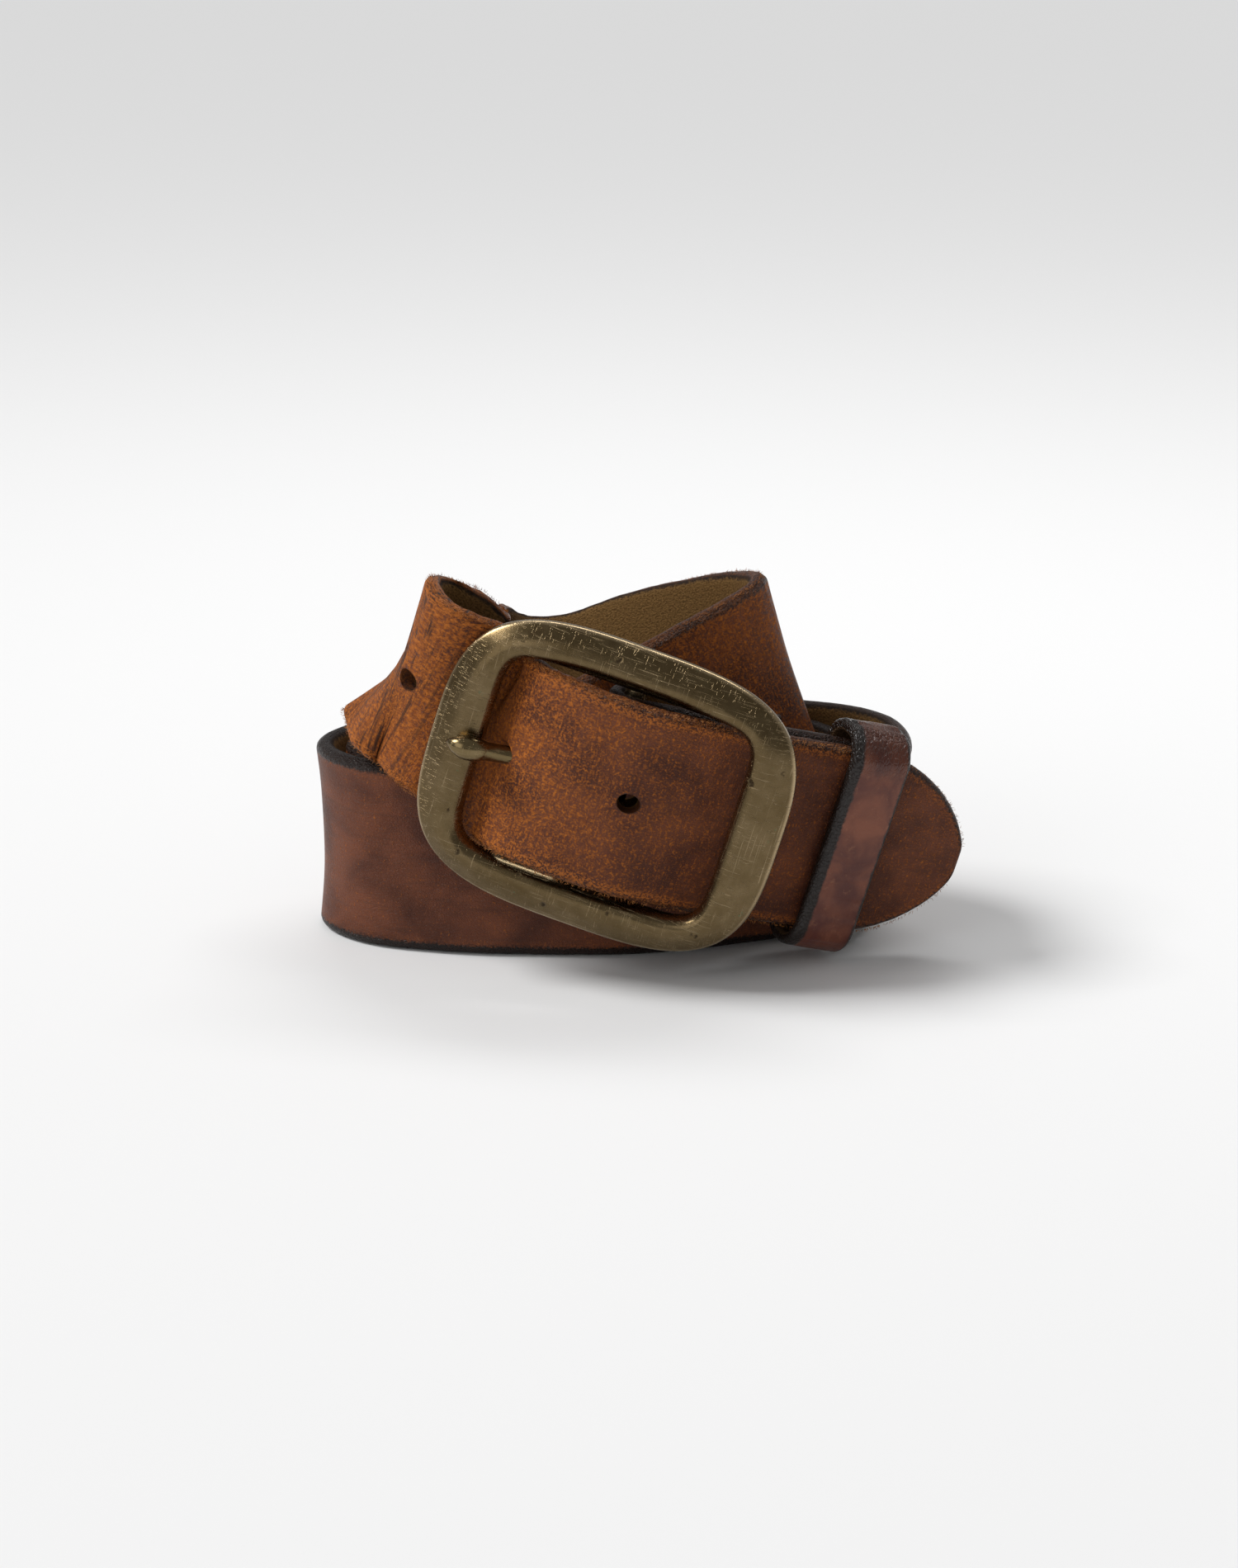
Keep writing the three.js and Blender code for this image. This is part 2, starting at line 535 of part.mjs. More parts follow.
studPlaces.forEach((up, i) => {
  const side = ["lower", "upper"][i];
  for (const [piece, outline] of Object.entries(studPieces)) {
    const closed = outline[0][0] ? [...outline, outline[0]] : outline;
    const geometry = geometryOf(solid(turned(closed)));
    const mesh = addPiece(`${side}_stud_${piece}`, geometry.applyMatrix4(studAxis), metal(0x9a8a62), run);
    mesh.position.set(STUD_PLACE, up, 0);
  }
});

// ---- The origin: in the middle of the box, on the surface it stands on --------------------------
const box = new THREE.Box3().setFromObject(belt, true);
belt.position.set(-(box.min.x + box.max.x) / 2, -(box.min.y + box.max.y) / 2, -box.min.z);

export default belt;
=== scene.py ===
# %% [markdown]
# # A worn leather belt, coiled and buckled
# The belt is one long strap of thick harness leather with a cast brass buckle, a prong and a leather
# keeper loop. The measured frame is loaded first. It fixes the size, the joints and the place of every
# piece, so nothing here is fitted by eye: each piece is made at its own place, in metres.

# %% Load the frame
import json
import math
import bpy
import numpy as np
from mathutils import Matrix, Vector, noise


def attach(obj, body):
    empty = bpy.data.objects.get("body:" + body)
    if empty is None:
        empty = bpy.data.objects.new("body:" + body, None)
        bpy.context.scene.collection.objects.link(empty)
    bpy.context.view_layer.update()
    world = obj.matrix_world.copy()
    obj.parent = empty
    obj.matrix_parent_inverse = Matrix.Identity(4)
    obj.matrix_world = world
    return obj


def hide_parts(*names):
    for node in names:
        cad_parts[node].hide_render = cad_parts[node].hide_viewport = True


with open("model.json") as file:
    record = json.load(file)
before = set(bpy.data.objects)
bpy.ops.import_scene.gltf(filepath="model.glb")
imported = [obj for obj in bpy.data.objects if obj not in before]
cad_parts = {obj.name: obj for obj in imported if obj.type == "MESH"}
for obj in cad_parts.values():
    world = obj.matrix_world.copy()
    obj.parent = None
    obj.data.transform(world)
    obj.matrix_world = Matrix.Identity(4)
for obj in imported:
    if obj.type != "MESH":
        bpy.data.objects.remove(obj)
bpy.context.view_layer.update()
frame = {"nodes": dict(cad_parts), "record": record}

MM = 0.001
joints = {joint["name"]: joint for joint in frame["record"]["behaviour"]["joints"]}
bar_centre = np.array(joints["buckle_tilt"]["pos_m"]) / MM

# %% [markdown]
# ## The belt's own directions
# The buckle lies rolled by 17 degrees, so its right end hangs down. Two frames share the bar's
# direction: the buckle's own, and the run's, along which the strap's two layers go back through the
# keeper. In each, x goes along the belt, y up the bar and z out to the front.

# %% The buckle's frame and the run's
ROLL, HEADING, RUN_HEADING = (math.radians(a) for a in (17, -11, 20))
BAR_SETBACK = 0.8
slope = np.array([math.cos(ROLL), 0, -math.sin(ROLL)])
bar_direction = np.array([math.sin(ROLL), 0, math.cos(ROLL)])


def heading_axes(angle):
    along = slope * math.cos(angle) + np.array([0, math.sin(angle), 0])
    return np.array([along, bar_direction, np.cross(along, bar_direction)])


buckle_axes, run_axes = heading_axes(HEADING), heading_axes(RUN_HEADING)
buckle_origin = bar_centre + BAR_SETBACK * buckle_axes[2]
BUCKLE_AT = np.array([-2.5, -36.5, 39])
origin_shift = buckle_origin - BUCKLE_AT
print("the plan's origin moves by", origin_shift.round(2), "mm")

# %% [markdown]
# ## The camera
# A long lens, a little above the belt, looks at it from the front. Its angle and distance set how far
# the coil's top opens and how much the near buckle grows, so they are part of the likeness.

# %% Camera
LENS_DISTANCE, ELEVATION = 750, math.radians(18)
target = (np.array([0, 0, 27.4]) + origin_shift) * MM
away = np.array([0, -math.cos(ELEVATION), math.sin(ELEVATION)]) * LENS_DISTANCE * MM
camera_data = bpy.data.cameras.new("camera")
camera_data.sensor_width, camera_data.lens = 36, 86
camera = bpy.data.objects.new("camera", camera_data)
camera.location = target + away
camera.rotation_euler = (math.pi / 2 - ELEVATION, 0, 0)
bpy.context.collection.objects.link(camera)
bpy.context.scene.camera = camera

# %% [markdown]
# ## Shader arithmetic
# A finish is a network of small nodes. Written as nodes it is long and hard to read, so a signal wraps a
# socket and lets ordinary arithmetic add the Math nodes. Every other node comes from `Finish.node`.

# %% Signals and finishes
class Signal:
    def __init__(self, finish, socket):
        self.finish, self.socket = finish, socket

    def math(self, operation, first, second=0.0):
        return self.finish.node("ShaderNodeMath", {"operation": operation}, {0: first, 1: second})

    def __add__(self, other): return self.math("ADD", self, other)
    def __sub__(self, other): return self.math("SUBTRACT", self, other)
    def __rsub__(self, other): return self.math("SUBTRACT", other, self)
    def __mul__(self, other): return self.math("MULTIPLY", self, other)
    __radd__, __rmul__ = __add__, __mul__

    def step(self, low, high):
        """0 below low and 1 above high, smoothly; low above high turns it round."""
        span = {"Value": self, "From Min": low, "From Max": high}
        return self.finish.node("ShaderNodeMapRange", {"interpolation_type": "SMOOTHSTEP"}, span)


class Finish:
    def __init__(self, name, roughness=0.5, metallic=0.0):
        self.material = bpy.data.materials.new(name)
        self.material.use_nodes = True
        self.tree = self.material.node_tree
        self.surface = self.tree.nodes["Principled BSDF"]
        self.set(Roughness=roughness, Metallic=metallic)

    def node(self, kind, settings=(), inputs=(), output=0):
        made = self.tree.nodes.new(kind)
        for key, value in dict(settings).items():
            setattr(made, key, value)
        for key, value in dict(inputs).items():
            self.feed(made.inputs[key], value)
        return Signal(self, made.outputs[output])

    def feed(self, socket, value):
        if isinstance(value, Signal):
            self.tree.links.new(value.socket, socket)
        else:
            socket.default_value = value

    def set(self, **values):
        for key, value in values.items():
            self.feed(self.surface.inputs[key.replace("_", " ")], value)

    def attribute(self, name):
        """The three parts of a vector that was stored on the mesh, and the vector itself."""
        whole = self.node("ShaderNodeAttribute", {"attribute_name": name}, output="Vector")
        parts = self.tree.nodes.new("ShaderNodeSeparateXYZ")
        self.feed(parts.inputs[0], whole)
        return [Signal(self, out) for out in parts.outputs] + [whole]

    def stretched(self, vector, scale, turn=(0, 0, 0)):
        return self.node("ShaderNodeMapping", {}, {"Vector": vector, "Scale": scale, "Rotation": turn})

    def noise(self, vector, scale, detail=3.0, roughness=0.55, distortion=0.0):
        return self.node("ShaderNodeTexNoise", {}, {
            "Vector": vector, "Scale": scale, "Detail": detail, "Roughness": roughness,
            "Distortion": distortion})

    def cells(self, vector, scale, feature="DISTANCE_TO_EDGE"):
        return self.node("ShaderNodeTexVoronoi", {"feature": feature}, {"Vector": vector, "Scale": scale})

    def mix(self, share, low, high):
        """Between two colours, as share goes from 0 to 1."""
        made = self.tree.nodes.new("ShaderNodeMix")
        made.data_type = "RGBA"
        colours = [(*c, 1) if isinstance(c, tuple) else c for c in (low, high)]
        for index, value in zip((0, 6, 7), (share, *colours)):
            self.feed(made.inputs[index], value)
        return Signal(self, made.outputs[2])

    def bump(self, height, distance, strength=1.0):
        relief = self.node("ShaderNodeBump", {}, {
            "Height": height, "Distance": distance, "Strength": strength})
        self.set(Normal=relief)


# %% [markdown]
# ## The strap's route
# The strap starts at the end of its fold, goes round the buckle's bar, through the keeper, twice round
# the coil, up over the top at the right and back at the left, and out through the buckle. The route is
# a list of stations, as a model maker pins a strip to a board: place, then how far the upper edge tilts
# to the right and leans back in degrees. A smooth curve through them gives every point between.

# %% Stations, in millimetres
WIDTH, THICKNESS, SKIVED = 38, 3.8, 2.4
LAYER_GAP, CLEARANCE = 1, 0.3
COIL_LEFT, COIL_RIGHT, COIL_FRONT, COIL_BACK = 59.3, 45.6, 26, 30
HALF = WIDTH / 2
PITCH = THICKNESS + LAYER_GAP
FOLD_RADIUS = 2.5
FLAP_LENGTH = 32
FLAP_OUT = -1.5
TIP_OUT = FOLD_RADIUS + THICKNESS + 0.6
RIGHT = COIL_RIGHT - THICKNESS


def left(turn): return -COIL_LEFT + THICKNESS + turn * (PITCH + 0.5)
def front(turn): return -COIL_FRONT + THICKNESS + turn * PITCH
def rear(turn): return COIL_BACK - THICKNESS - turn * PITCH


def on_run(along, out):
    place = along * run_axes[0] + out * run_axes[2] + bar_centre - origin_shift
    return [*place, 17, 0]


def at_buckle(along, out, up=0, tilt=17):
    place = along * buckle_axes[0] + up * buckle_axes[1] + out * buckle_axes[2] + BUCKLE_AT
    return [*place, tilt, 0]


def round_bar(degrees):
    angle = math.radians(degrees)
    return on_run(FOLD_RADIUS * math.cos(angle), FOLD_RADIUS * math.sin(angle))


fold_and_buckle_end = [
    on_run(FLAP_LENGTH, FLAP_OUT), on_run(FLAP_LENGTH * 0.7, FLAP_OUT),
    on_run(FLAP_LENGTH * 0.4, FLAP_OUT), on_run(6, -2.1),
    *(round_bar(degrees) for degrees in (-100, -140, 180, 140, 90)),
    *(on_run(along, FOLD_RADIUS) for along in (10, 22, 34, 44, 53)),
]
outer_turn = [
    [49.4, -13.5, 23, 14, 0], [50.6, -7, 22.6, 10, 0], [49.6, 1.5, 22.1, 6, 0],
    [44.5, 9.5, 21.4, 3, 0], [35, 16, 20.6, 1, 0], [21, rear(0) - 4, HALF + 0.8, 0, 0],
    [4, rear(0) - 0.5, HALF + 0.2, 0, 0], [-12, rear(0) - 0.5, HALF, 0, 0],
    [-32, rear(0) - 6, HALF, 0, 0], [left(0) + 6.5, 8, HALF, 0, 0], [left(0), -4, HALF, 0, 0],
    [left(0) + 6.2, -14.2, HALF, 0, 0], [-37, front(0) + 3.2, HALF, 0, 0],
    [-14, front(0) + 0.6, HALF, 0, 0], [3, front(0) + 1, HALF, 0, 0], [13, front(0) + 3.2, HALF, 0, 0],
    [22, front(0) + 6.4, HALF, 0, 0],
]
second_turn = [
    [RIGHT - 6, -9.5, HALF, 0, 0], [RIGHT, -2, HALF, 0, 0], [RIGHT - 3.5, 6.5, HALF, 0, 0],
    [22, rear(1) - 5, HALF, 0, 0], [4, rear(1) - 0.8, HALF, 0, 0], [-12, rear(1) - 0.6, HALF, 0, 0],
    [-31, rear(1) - 6.5, HALF, 0, 0], [left(1) + 5.8, 4.6, HALF, 0, 0],
    [left(1) + 0.7, -4, HALF + 0.2, -3, 0], [left(1) + 6.8, -10.6, HALF + 0.6, -7, 0],
]
rising_run = [
    [-35, front(1) + 3.2, HALF + 3.6, -14, 0], [-18, front(1) + 0.8, HALF + 10.8, -20, 0],
    [0, -15.5, HALF + 18.5, -22, 0], [16, -10, HALF + 26, -20, 0],
    [26.6, -3.7, HALF + 30.5, -18, 0], [30.6, 1.7, HALF + 32.2, -18, 0],
    [27, 7.2, HALF + 31, -17, 5],
]
sagging_back = [
    [17, 11, HALF + 28.6, -15, 16], [4, 13.2, HALF + 25.6, -13, 28], [-8, 13, HALF + 22.6, -4, 38],
    [-18.5, 8.8, HALF + 22.6, 10, 32], [-27.5, 2, HALF + 25.8, 21, 13],
    [-34.4, -6, HALF + 31, 25, -13], [-38.1, -11.5, HALF + 35.9, 25, -28],
    [-39.4, -16.7, HALF + 37.1, 25, -31], [-38.4, -21.6, HALF + 37.4, 25, -22],
    [-35.4, -24.9, HALF + 35.4, 24.5, -8], [-31.2, -25.5, HALF + 32.8, 24, 0],
]
through_buckle = [
    at_buckle(-25.5, -6.3, 1.3, 21.5), at_buckle(-20.5, -3.6, 0.1, 18.2),
    at_buckle(-16, 1, 0.2, 17.8), at_buckle(-11, 3.8, 0.5, 17.3), at_buckle(-6, 5, 0.6),
    at_buckle(0, 5.1, 0.6), at_buckle(7, 4.2, 0.6), at_buckle(13, 1.2, 0.5), on_run(20, TIP_OUT + 1.1),
    on_run(29, TIP_OUT + 0.6), *(on_run(along, TIP_OUT) for along in (38, 50, 62, 73.5)),
]
stations = np.array(
    fold_and_buckle_end + outer_turn + second_turn + rising_run + sagging_back + through_buckle)
print(len(stations), "stations")

# %% [markdown]
# A Catmull-Rom curve passes through all its points. In its centripetal form the spacing of the points
# sets the speed, which keeps tight bends free of loops, so the places use it. The tilts use the plain
# form at the same parameter.

# %% Smooth curves through the stations
def smooth_through(points, parameter, centripetal):
    """Points at parameters from 0 to 1 on the curve through a list of points."""
    padded = np.vstack([2 * points[0] - points[1], points, 2 * points[-1] - points[-2]])
    span = np.clip(parameter * (len(points) - 1), 0, len(points) - 1 - 1e-9)
    index = span.astype(int)
    share = (span - index)[:, None]
    before, start, end, after = (padded[index + k] for k in range(4))
    if centripetal:
        gaps = [np.sqrt(np.linalg.norm(b - a, axis=1))[:, None]
                for a, b in ((before, start), (start, end), (end, after))]
        leave = (start - before) / gaps[0] - (end - before) / (gaps[0] + gaps[1]) + (end - start) / gaps[1]
        arrive = (end - start) / gaps[1] - (after - start) / (gaps[1] + gaps[2]) + (after - end) / gaps[2]
        leave, arrive = leave * gaps[1], arrive * gaps[1]
    else:
        leave, arrive = (end - before) / 2, (after - start) / 2
    return (start + leave * share
            + (3 * (end - start) - 2 * leave - arrive) * share ** 2
            + (2 * (start - end) + leave + arrive) * share ** 3)


def unit(vectors):
    return vectors / np.linalg.norm(vectors, axis=-1, keepdims=True)


parameter = np.linspace(0, 1, (len(stations) - 1) * 40 + 1)
places = smooth_through(stations[:, :3], parameter, True)
tilt, lean = np.radians(smooth_through(stations[:, 3:], parameter, False)).T
steps = np.linalg.norm(np.diff(places, axis=0), axis=1)
route = np.concatenate([[0], np.cumsum(steps)])
ROUTE_LENGTH = route[-1]
forwards = unit(np.gradient(places, axis=0))
upwards = np.column_stack([np.sin(tilt), np.sin(lean), np.cos(tilt) * np.cos(lean)])
upwards = unit(upwards - (upwards * forwards).sum(1, keepdims=True) * forwards)
outwards = np.cross(forwards, upwards)
floor_height = HALF * upwards[:, 2] + THICKNESS * np.maximum(0, -outwards[:, 2])
places[:, 2] = np.maximum(places[:, 2], floor_height)
places += origin_shift
print(f"the strap is {ROUTE_LENGTH:.0f} mm long")


def sample(at, known, table):
    """The rows of a table between those that are known."""
    return np.column_stack([np.interp(at, known, column) for column in table.T])


def along_route(table, distance):
    return sample(distance, route, table)


# %% [markdown]
# ## Cutting a strip of leather
# A saddler cuts a strip, rounds and burnishes its edges, punches it, and bends it last. The same order
# works here: a flat grid gets a thickness with Solidify, its rows are spread across the strip so that the
# outer ones roll round the edges, and holes are cut while it is still flat. The flat position of each
# point is stored on the mesh, so grain, creases and wear follow the leather round every bend.

# %% Helpers for flat work
EDGE_ROWS, EDGE_ROLL = 6, math.radians(82)


def select_only(piece):
    bpy.ops.object.select_all(action="DESELECT")
    piece.select_set(True)
    bpy.context.view_layer.objects.active = piece


def apply_modifier(piece, kind, **settings):
    select_only(piece)
    modifier = piece.modifiers.new(kind.lower(), kind)
    for key, value in settings.items():
        setattr(modifier, key, value)
    bpy.ops.object.modifier_apply(modifier=modifier.name)


def face_outwards(piece):
    """Turn every face of a closed piece outwards."""
    select_only(piece)
    bpy.ops.object.mode_set(mode="EDIT")
    bpy.ops.mesh.select_all(action="SELECT")
    bpy.ops.mesh.normals_make_consistent(inside=False)
    bpy.ops.object.mode_set(mode="OBJECT")


def read_points(piece):
    points = np.empty(len(piece.data.vertices) * 3)
    piece.data.vertices.foreach_get("co", points)
    return points.reshape(-1, 3)


def write_points(piece, points):
    piece.data.vertices.foreach_set("co", np.ascontiguousarray(points).ravel())
    piece.data.update()


def store(piece, name, columns):
    """Keep three numbers for each point of a piece, for its finish to read."""
    layer = piece.data.attributes.new(name, "FLOAT_VECTOR", "POINT")
    layer.data.foreach_set("vector", np.column_stack(columns).astype(np.float32).ravel())


def cut_strip(name, columns, rows, half_width, thickness, rounding):
    """A flat strip, in millimetres: x along it, y across, z from 0 on its flesh side."""
    bpy.ops.object.select_all(action="DESELECT")
    bpy.ops.mesh.primitive_grid_add(
        x_subdivisions=len(columns) - 1, y_subdivisions=rows, size=2)
    strip = bpy.context.object
    strip.name = name
    apply_modifier(strip, "SOLIDIFY", thickness=1, offset=0)
    x, y, z = read_points(strip).T
    along = columns[np.rint((x + 1) / 2 * (len(columns) - 1)).astype(int)]
    row = np.rint((np.abs(y)) * rows / 2)
    inner_rows = rows / 2 - EDGE_ROWS
    edge = half_width(along)
    depth = thickness(along)
    radius = np.minimum(rounding * depth / 2, edge * 0.9)
    roll = np.clip((row - inner_rows) / EDGE_ROWS, 0, 1) * EDGE_ROLL
    across = np.minimum(row / inner_rows, 1) * (edge - radius) + radius * np.sin(roll)
    height = depth / 2 - radius * (1 - np.cos(roll))
    write_points(strip, np.column_stack([
        along, np.sign(y) * across, depth / 2 + np.sign(z) * height]))
    return strip


def cut_out(piece, cutters):
    """Subtract cutters that were drawn over a piece."""
    bpy.ops.object.select_all(action="DESELECT")
    for cutter in cutters:
        cutter.select_set(True)
    bpy.context.view_layer.objects.active = cutters[0]
    if len(cutters) > 1:
        bpy.ops.object.join()
    cutter = bpy.context.object
    apply_modifier(piece, "BOOLEAN", operation="DIFFERENCE", object=cutter, solver="EXACT")
    bpy.data.objects.remove(cutter)


# %% [markdown]
# The strap is thin in its fold, full beyond it, and rounded to a blunt point. Its holes are an inch apart.
# The hole with the prong in it is pulled long and slanted, and the fold has a slot for the prong's eye.

# %% Cut and punch the strap
TIP_LENGTH = 27
fold_end = FLAP_LENGTH + math.pi * FOLD_RADIUS
HOLE_DIAMETER, HOLE_PITCH, HOLE_COUNT, TIP_TO_FIRST_HOLE = 3.8, 25.4, 5, 72
holes = ROUTE_LENGTH - TIP_TO_FIRST_HOLE - HOLE_PITCH * np.arange(HOLE_COUNT)
PRONG_HOLE = 1
SLOT_START, SLOT_END, SLOT_WIDTH = 27, 46, 6.4
STUD_HOLE, STUD_ROWS, STUD_SIDES = 4.4, (9, 63.2), (-9.5, 9.5)


def strap_half_width(distance):
    share = np.clip((distance - (ROUTE_LENGTH - TIP_LENGTH)) / TIP_LENGTH, 0, 1)
    return HALF * np.maximum(0.05, (1 - share ** 2.1) ** 0.62)


def strap_thickness(distance):
    share = np.clip((distance - fold_end - 4) / 14, 0, 1)
    full = SKIVED + (THICKNESS - SKIVED) * share * share * (3 - 2 * share)
    to_end = np.clip((ROUTE_LENGTH - distance) / 1.6, 0, 1)
    return full * np.maximum(0.2, np.sqrt(1 - (1 - to_end) ** 2))


near_tip = ROUTE_LENGTH - 9 * np.linspace(1, 0, 26) ** 1.8
columns = np.concatenate([np.linspace(0, ROUTE_LENGTH - 10, 660), near_tip])
strap = cut_strip("strap_leather_body", columns, 44, strap_half_width, strap_thickness, 0.92)


def punch(along, across, diameter):
    bpy.ops.mesh.primitive_cylinder_add(
        vertices=28, radius=diameter / 2, depth=12, location=(along, across, 2))
    return bpy.context.object


def oblong(start, end, width, slant=0):
    """A punch with round ends; slant moves its foot along the strip."""
    cutter = punch(start, 0, width)
    bpy.ops.object.transform_apply(location=True)
    points = read_points(cutter)
    far = points[:, 0] > start
    points[far, 0] += end - start
    points[:, 0] += (2 - points[:, 2]) / 4 * slant
    write_points(cutter, points)
    return cutter


punches = [punch(along, 0, HOLE_DIAMETER)
           for number, along in enumerate(holes) if number != PRONG_HOLE]
punches.append(oblong(holes[PRONG_HOLE] + 1.6, holes[PRONG_HOLE] + 2.9, 4.4, slant=4.2))
punches.append(oblong(SLOT_START, SLOT_END, SLOT_WIDTH))
punches += [punch(along, across, STUD_HOLE) for along in STUD_ROWS for across in STUD_SIDES]
cut_out(strap, punches)
flat = read_points(strap)
print("strap:", len(flat), "points")

# %% [markdown]
# ## Wear along the strap
# One hide, but each stretch has lived differently: the outside of the low turn stays smooth and brown,
# the high bends are rubbed to an orange nap, and the edge near the tip is frayed. Each kind of wear is
# a short list of distances and amounts, spread over the points and stored for the finish.

# %% Wear, edges and creases
along, across, depth = flat.T


def wear_list(*pairs):
    return np.interp(along, *zip(*pairs))


nap = wear_list((0, 0.3), (90, 0.3), (180, 0.1), (250, 0.04), (360, 0.1), (480, 0.4), (505, 0.62),
                (560, 0.62), (640, 0.8), (655, 0.92), (676, 0.8), (692, 0.62), (712, 0.4), (735, 0.26),
                (760, 0.24), (785, 0.2))
fray = wear_list((0, 0.1), (100, 0.15), (220, 0.05), (480, 0.1), (520, 0.35), (600, 0.35), (645, 1),
                 (672, 1), (690, 0.75), (740, 0.4), (755, 0.3), (785, 0.15))
burnish = wear_list((0, 1), (90, 1.4), (230, 1.9), (360, 1.9), (480, 1.8), (560, 1.7), (600, 1.5),
                    (645, 0.5), (680, 0.5), (700, 1.3), (750, 1.2), (785, 0.9))
crease = np.exp(-((along - 656) / 9) ** 2) + 0.3 * np.exp(-((along - 562) / 12) ** 2)
slopes = np.gradient(strap_half_width(route), route)
outline_slope = np.interp(along, route, slopes)
from_edge = (strap_half_width(along) - np.abs(across)) / np.sqrt(1 + outline_slope ** 2)
grain_share = depth / strap_thickness(along)
from_hole = np.min([np.hypot(along - hole, across) for hole in holes], axis=0) - HOLE_DIAMETER / 2
store(strap, "flat", (along, across, depth))
store(strap, "wear", (nap, fray, crease))
store(strap, "edge", (from_edge, grain_share, burnish))
store(strap, "punched", (np.clip(from_hole, 0, 8), np.sign(across), np.zeros_like(along)))

# %% [markdown]
# ## Bending the strap
# Each flat point goes to its distance along the route, across it and out of it. Leather that is bent
# hard across its width curls its edges outwards, creases in fine ridges and lifts where it is frayed, and
# those small moves are added here, so that they show in the outline and not only in the shading.

# %% Bend it
def ripple(scale_along, scale_across, seed):
    return np.array([noise.noise((x * scale_along, y * scale_across, seed))
                     for x, y in zip(along, across)])


curl = 1.3 * np.exp(-((along - 242) / 13) ** 2) + 0.7 * np.exp(-((along - 562) / 12) ** 2)
curl += 0.5 * np.exp(-((along - 655) / 10) ** 2)
grain_only = np.clip(grain_share * 2 - 1, 0, 1)
ridges = ripple(0.9, 0.08, 3.1) * 0.3 * np.clip(crease, 0, 1) * grain_only
uneven = ripple(0.11, 0.09, 7.7) * 0.28
near_edge = np.clip(1 - from_edge / 1.6, 0, 1)
tatter = near_edge * (0.04 + 0.26 * fray) * ripple(1.3, 0.6, 11.3)
hem_wave = near_edge * ripple(0.3, 0.05, 19.9) * 0.3 * fray
place, up, out = (along_route(table, along) for table in (places, upwards, outwards))
lift = depth + curl * ((across / HALF) ** 2 - 0.25) + ridges + uneven * grain_only + 0.6 * tatter
sideways = across + np.sign(across) * (tatter + hem_wave)
bent = place + up * sideways[:, None] + out * lift[:, None]
bent[:, 2] = np.maximum(bent[:, 2], 0.02)
write_points(strap, bent * MM)


def smooth_piece(piece, degrees=40):
    select_only(piece)
    bpy.ops.object.shade_smooth_by_angle(angle=math.radians(degrees))


smooth_piece(strap, 50)

# %% [markdown]
# ## The leather
# Vegetable-tanned leather, waxed and worn: a deep brown grain, rubbed in flecks to an orange nap. The
# edges are burnished nearly black and crackle, with a frayed orange line beneath where they have worn
# through. The flesh side is golden suede. One network makes all of it, because the parts run into each
# other, and the stored numbers say where each begins.

# %% Leather finish
leather = Finish("worn_harness_leather")
_, _, _, skin = leather.attribute("flat")
nap_s, fray_s, crease_s, _ = leather.attribute("wear")
edge_s, grain_s, burnish_s, _ = leather.attribute("edge")
hole_s, _, _, _ = leather.attribute("punched")

cloud = leather.noise(skin, 0.09, 3.0, 0.5, 0.4)
mottle = leather.noise(skin, 1.3, 8.0, 0.7, 0.3)
fleck = leather.noise(skin, 2.6, 4.0, 0.6)
pores = leather.cells(skin, 1.9)
streaks = leather.noise(leather.stretched(skin, (1.1, 0.07, 0.6)), 1.0, 4.0, 0.6)
rub = leather.noise(leather.stretched(skin, (0.1, 0.9, 0.6)), 1.0, 4.0, 0.6)
hatch = leather.noise(leather.stretched(skin, (2.4, 0.45, 1)), 1.0, 5.0, 0.65)
rubbed = nap_s + (mottle - 0.5) * 1.3 + (fleck - 0.5) * 1.7 + (cloud - 0.5) * 0.5 + (hatch - 0.5) * 1.6
rubbed = rubbed.step(0.2, 1.1)
deep_brown = leather.mix(cloud.step(0.3, 0.7), (0.06, 0.015, 0.006), (0.15, 0.044, 0.018))
orange_nap = leather.mix(mottle.step(0.3, 0.75), (0.17, 0.037, 0.005), (0.52, 0.16, 0.022))
grain_colour = leather.mix(rubbed, deep_brown, orange_nap)
fine_lines = rub.step(0.52, 0.68) * (1 - nap_s) * 0.3
grain_colour = leather.mix(fine_lines, grain_colour, (0.05, 0.018, 0.01))
dark_streak = crease_s * streaks.step(0.5, 0.62) * 0.8 + crease_s * 0.12
grain_colour = leather.mix(dark_streak, grain_colour, (0.035, 0.014, 0.008))

ragged = edge_s + (mottle - 0.5) * 1.6 + (fleck - 0.5) * 0.7
burnished = (ragged - burnish_s).step(0.5, -0.35)
torn = (ragged - burnish_s - 1.2).step(1.0, -0.6) * (0.08 + fray_s) * (fleck + mottle).step(0.82, 1.1)
grain_colour = leather.mix(torn.step(0, 0.8), grain_colour, (0.42, 0.125, 0.02))
soot = leather.mix(mottle.step(0.5, 0.8), (0.007, 0.004, 0.003), (0.03, 0.016, 0.01))
grain_colour = leather.mix(burnished * (1 - fray_s * 0.8), grain_colour, soot)
grain_colour = leather.mix(hole_s.step(0.4, 0.0) * 0.6, grain_colour, (0.02, 0.009, 0.005))

suede = leather.mix(fleck.step(0.3, 0.7), (0.1, 0.05, 0.013), (0.24, 0.13, 0.042))
suede = leather.mix(mottle.step(0.5, 0.8) * 0.5, suede, (0.07, 0.034, 0.012))
suede = leather.mix((edge_s + (mottle - 0.5) * 2).step(1.4, 0.5), suede, (0.02, 0.011, 0.007))
on_grain = grain_s.step(0.12, 0.3)
leather.set(Base_Color=leather.mix(on_grain, suede, grain_colour))

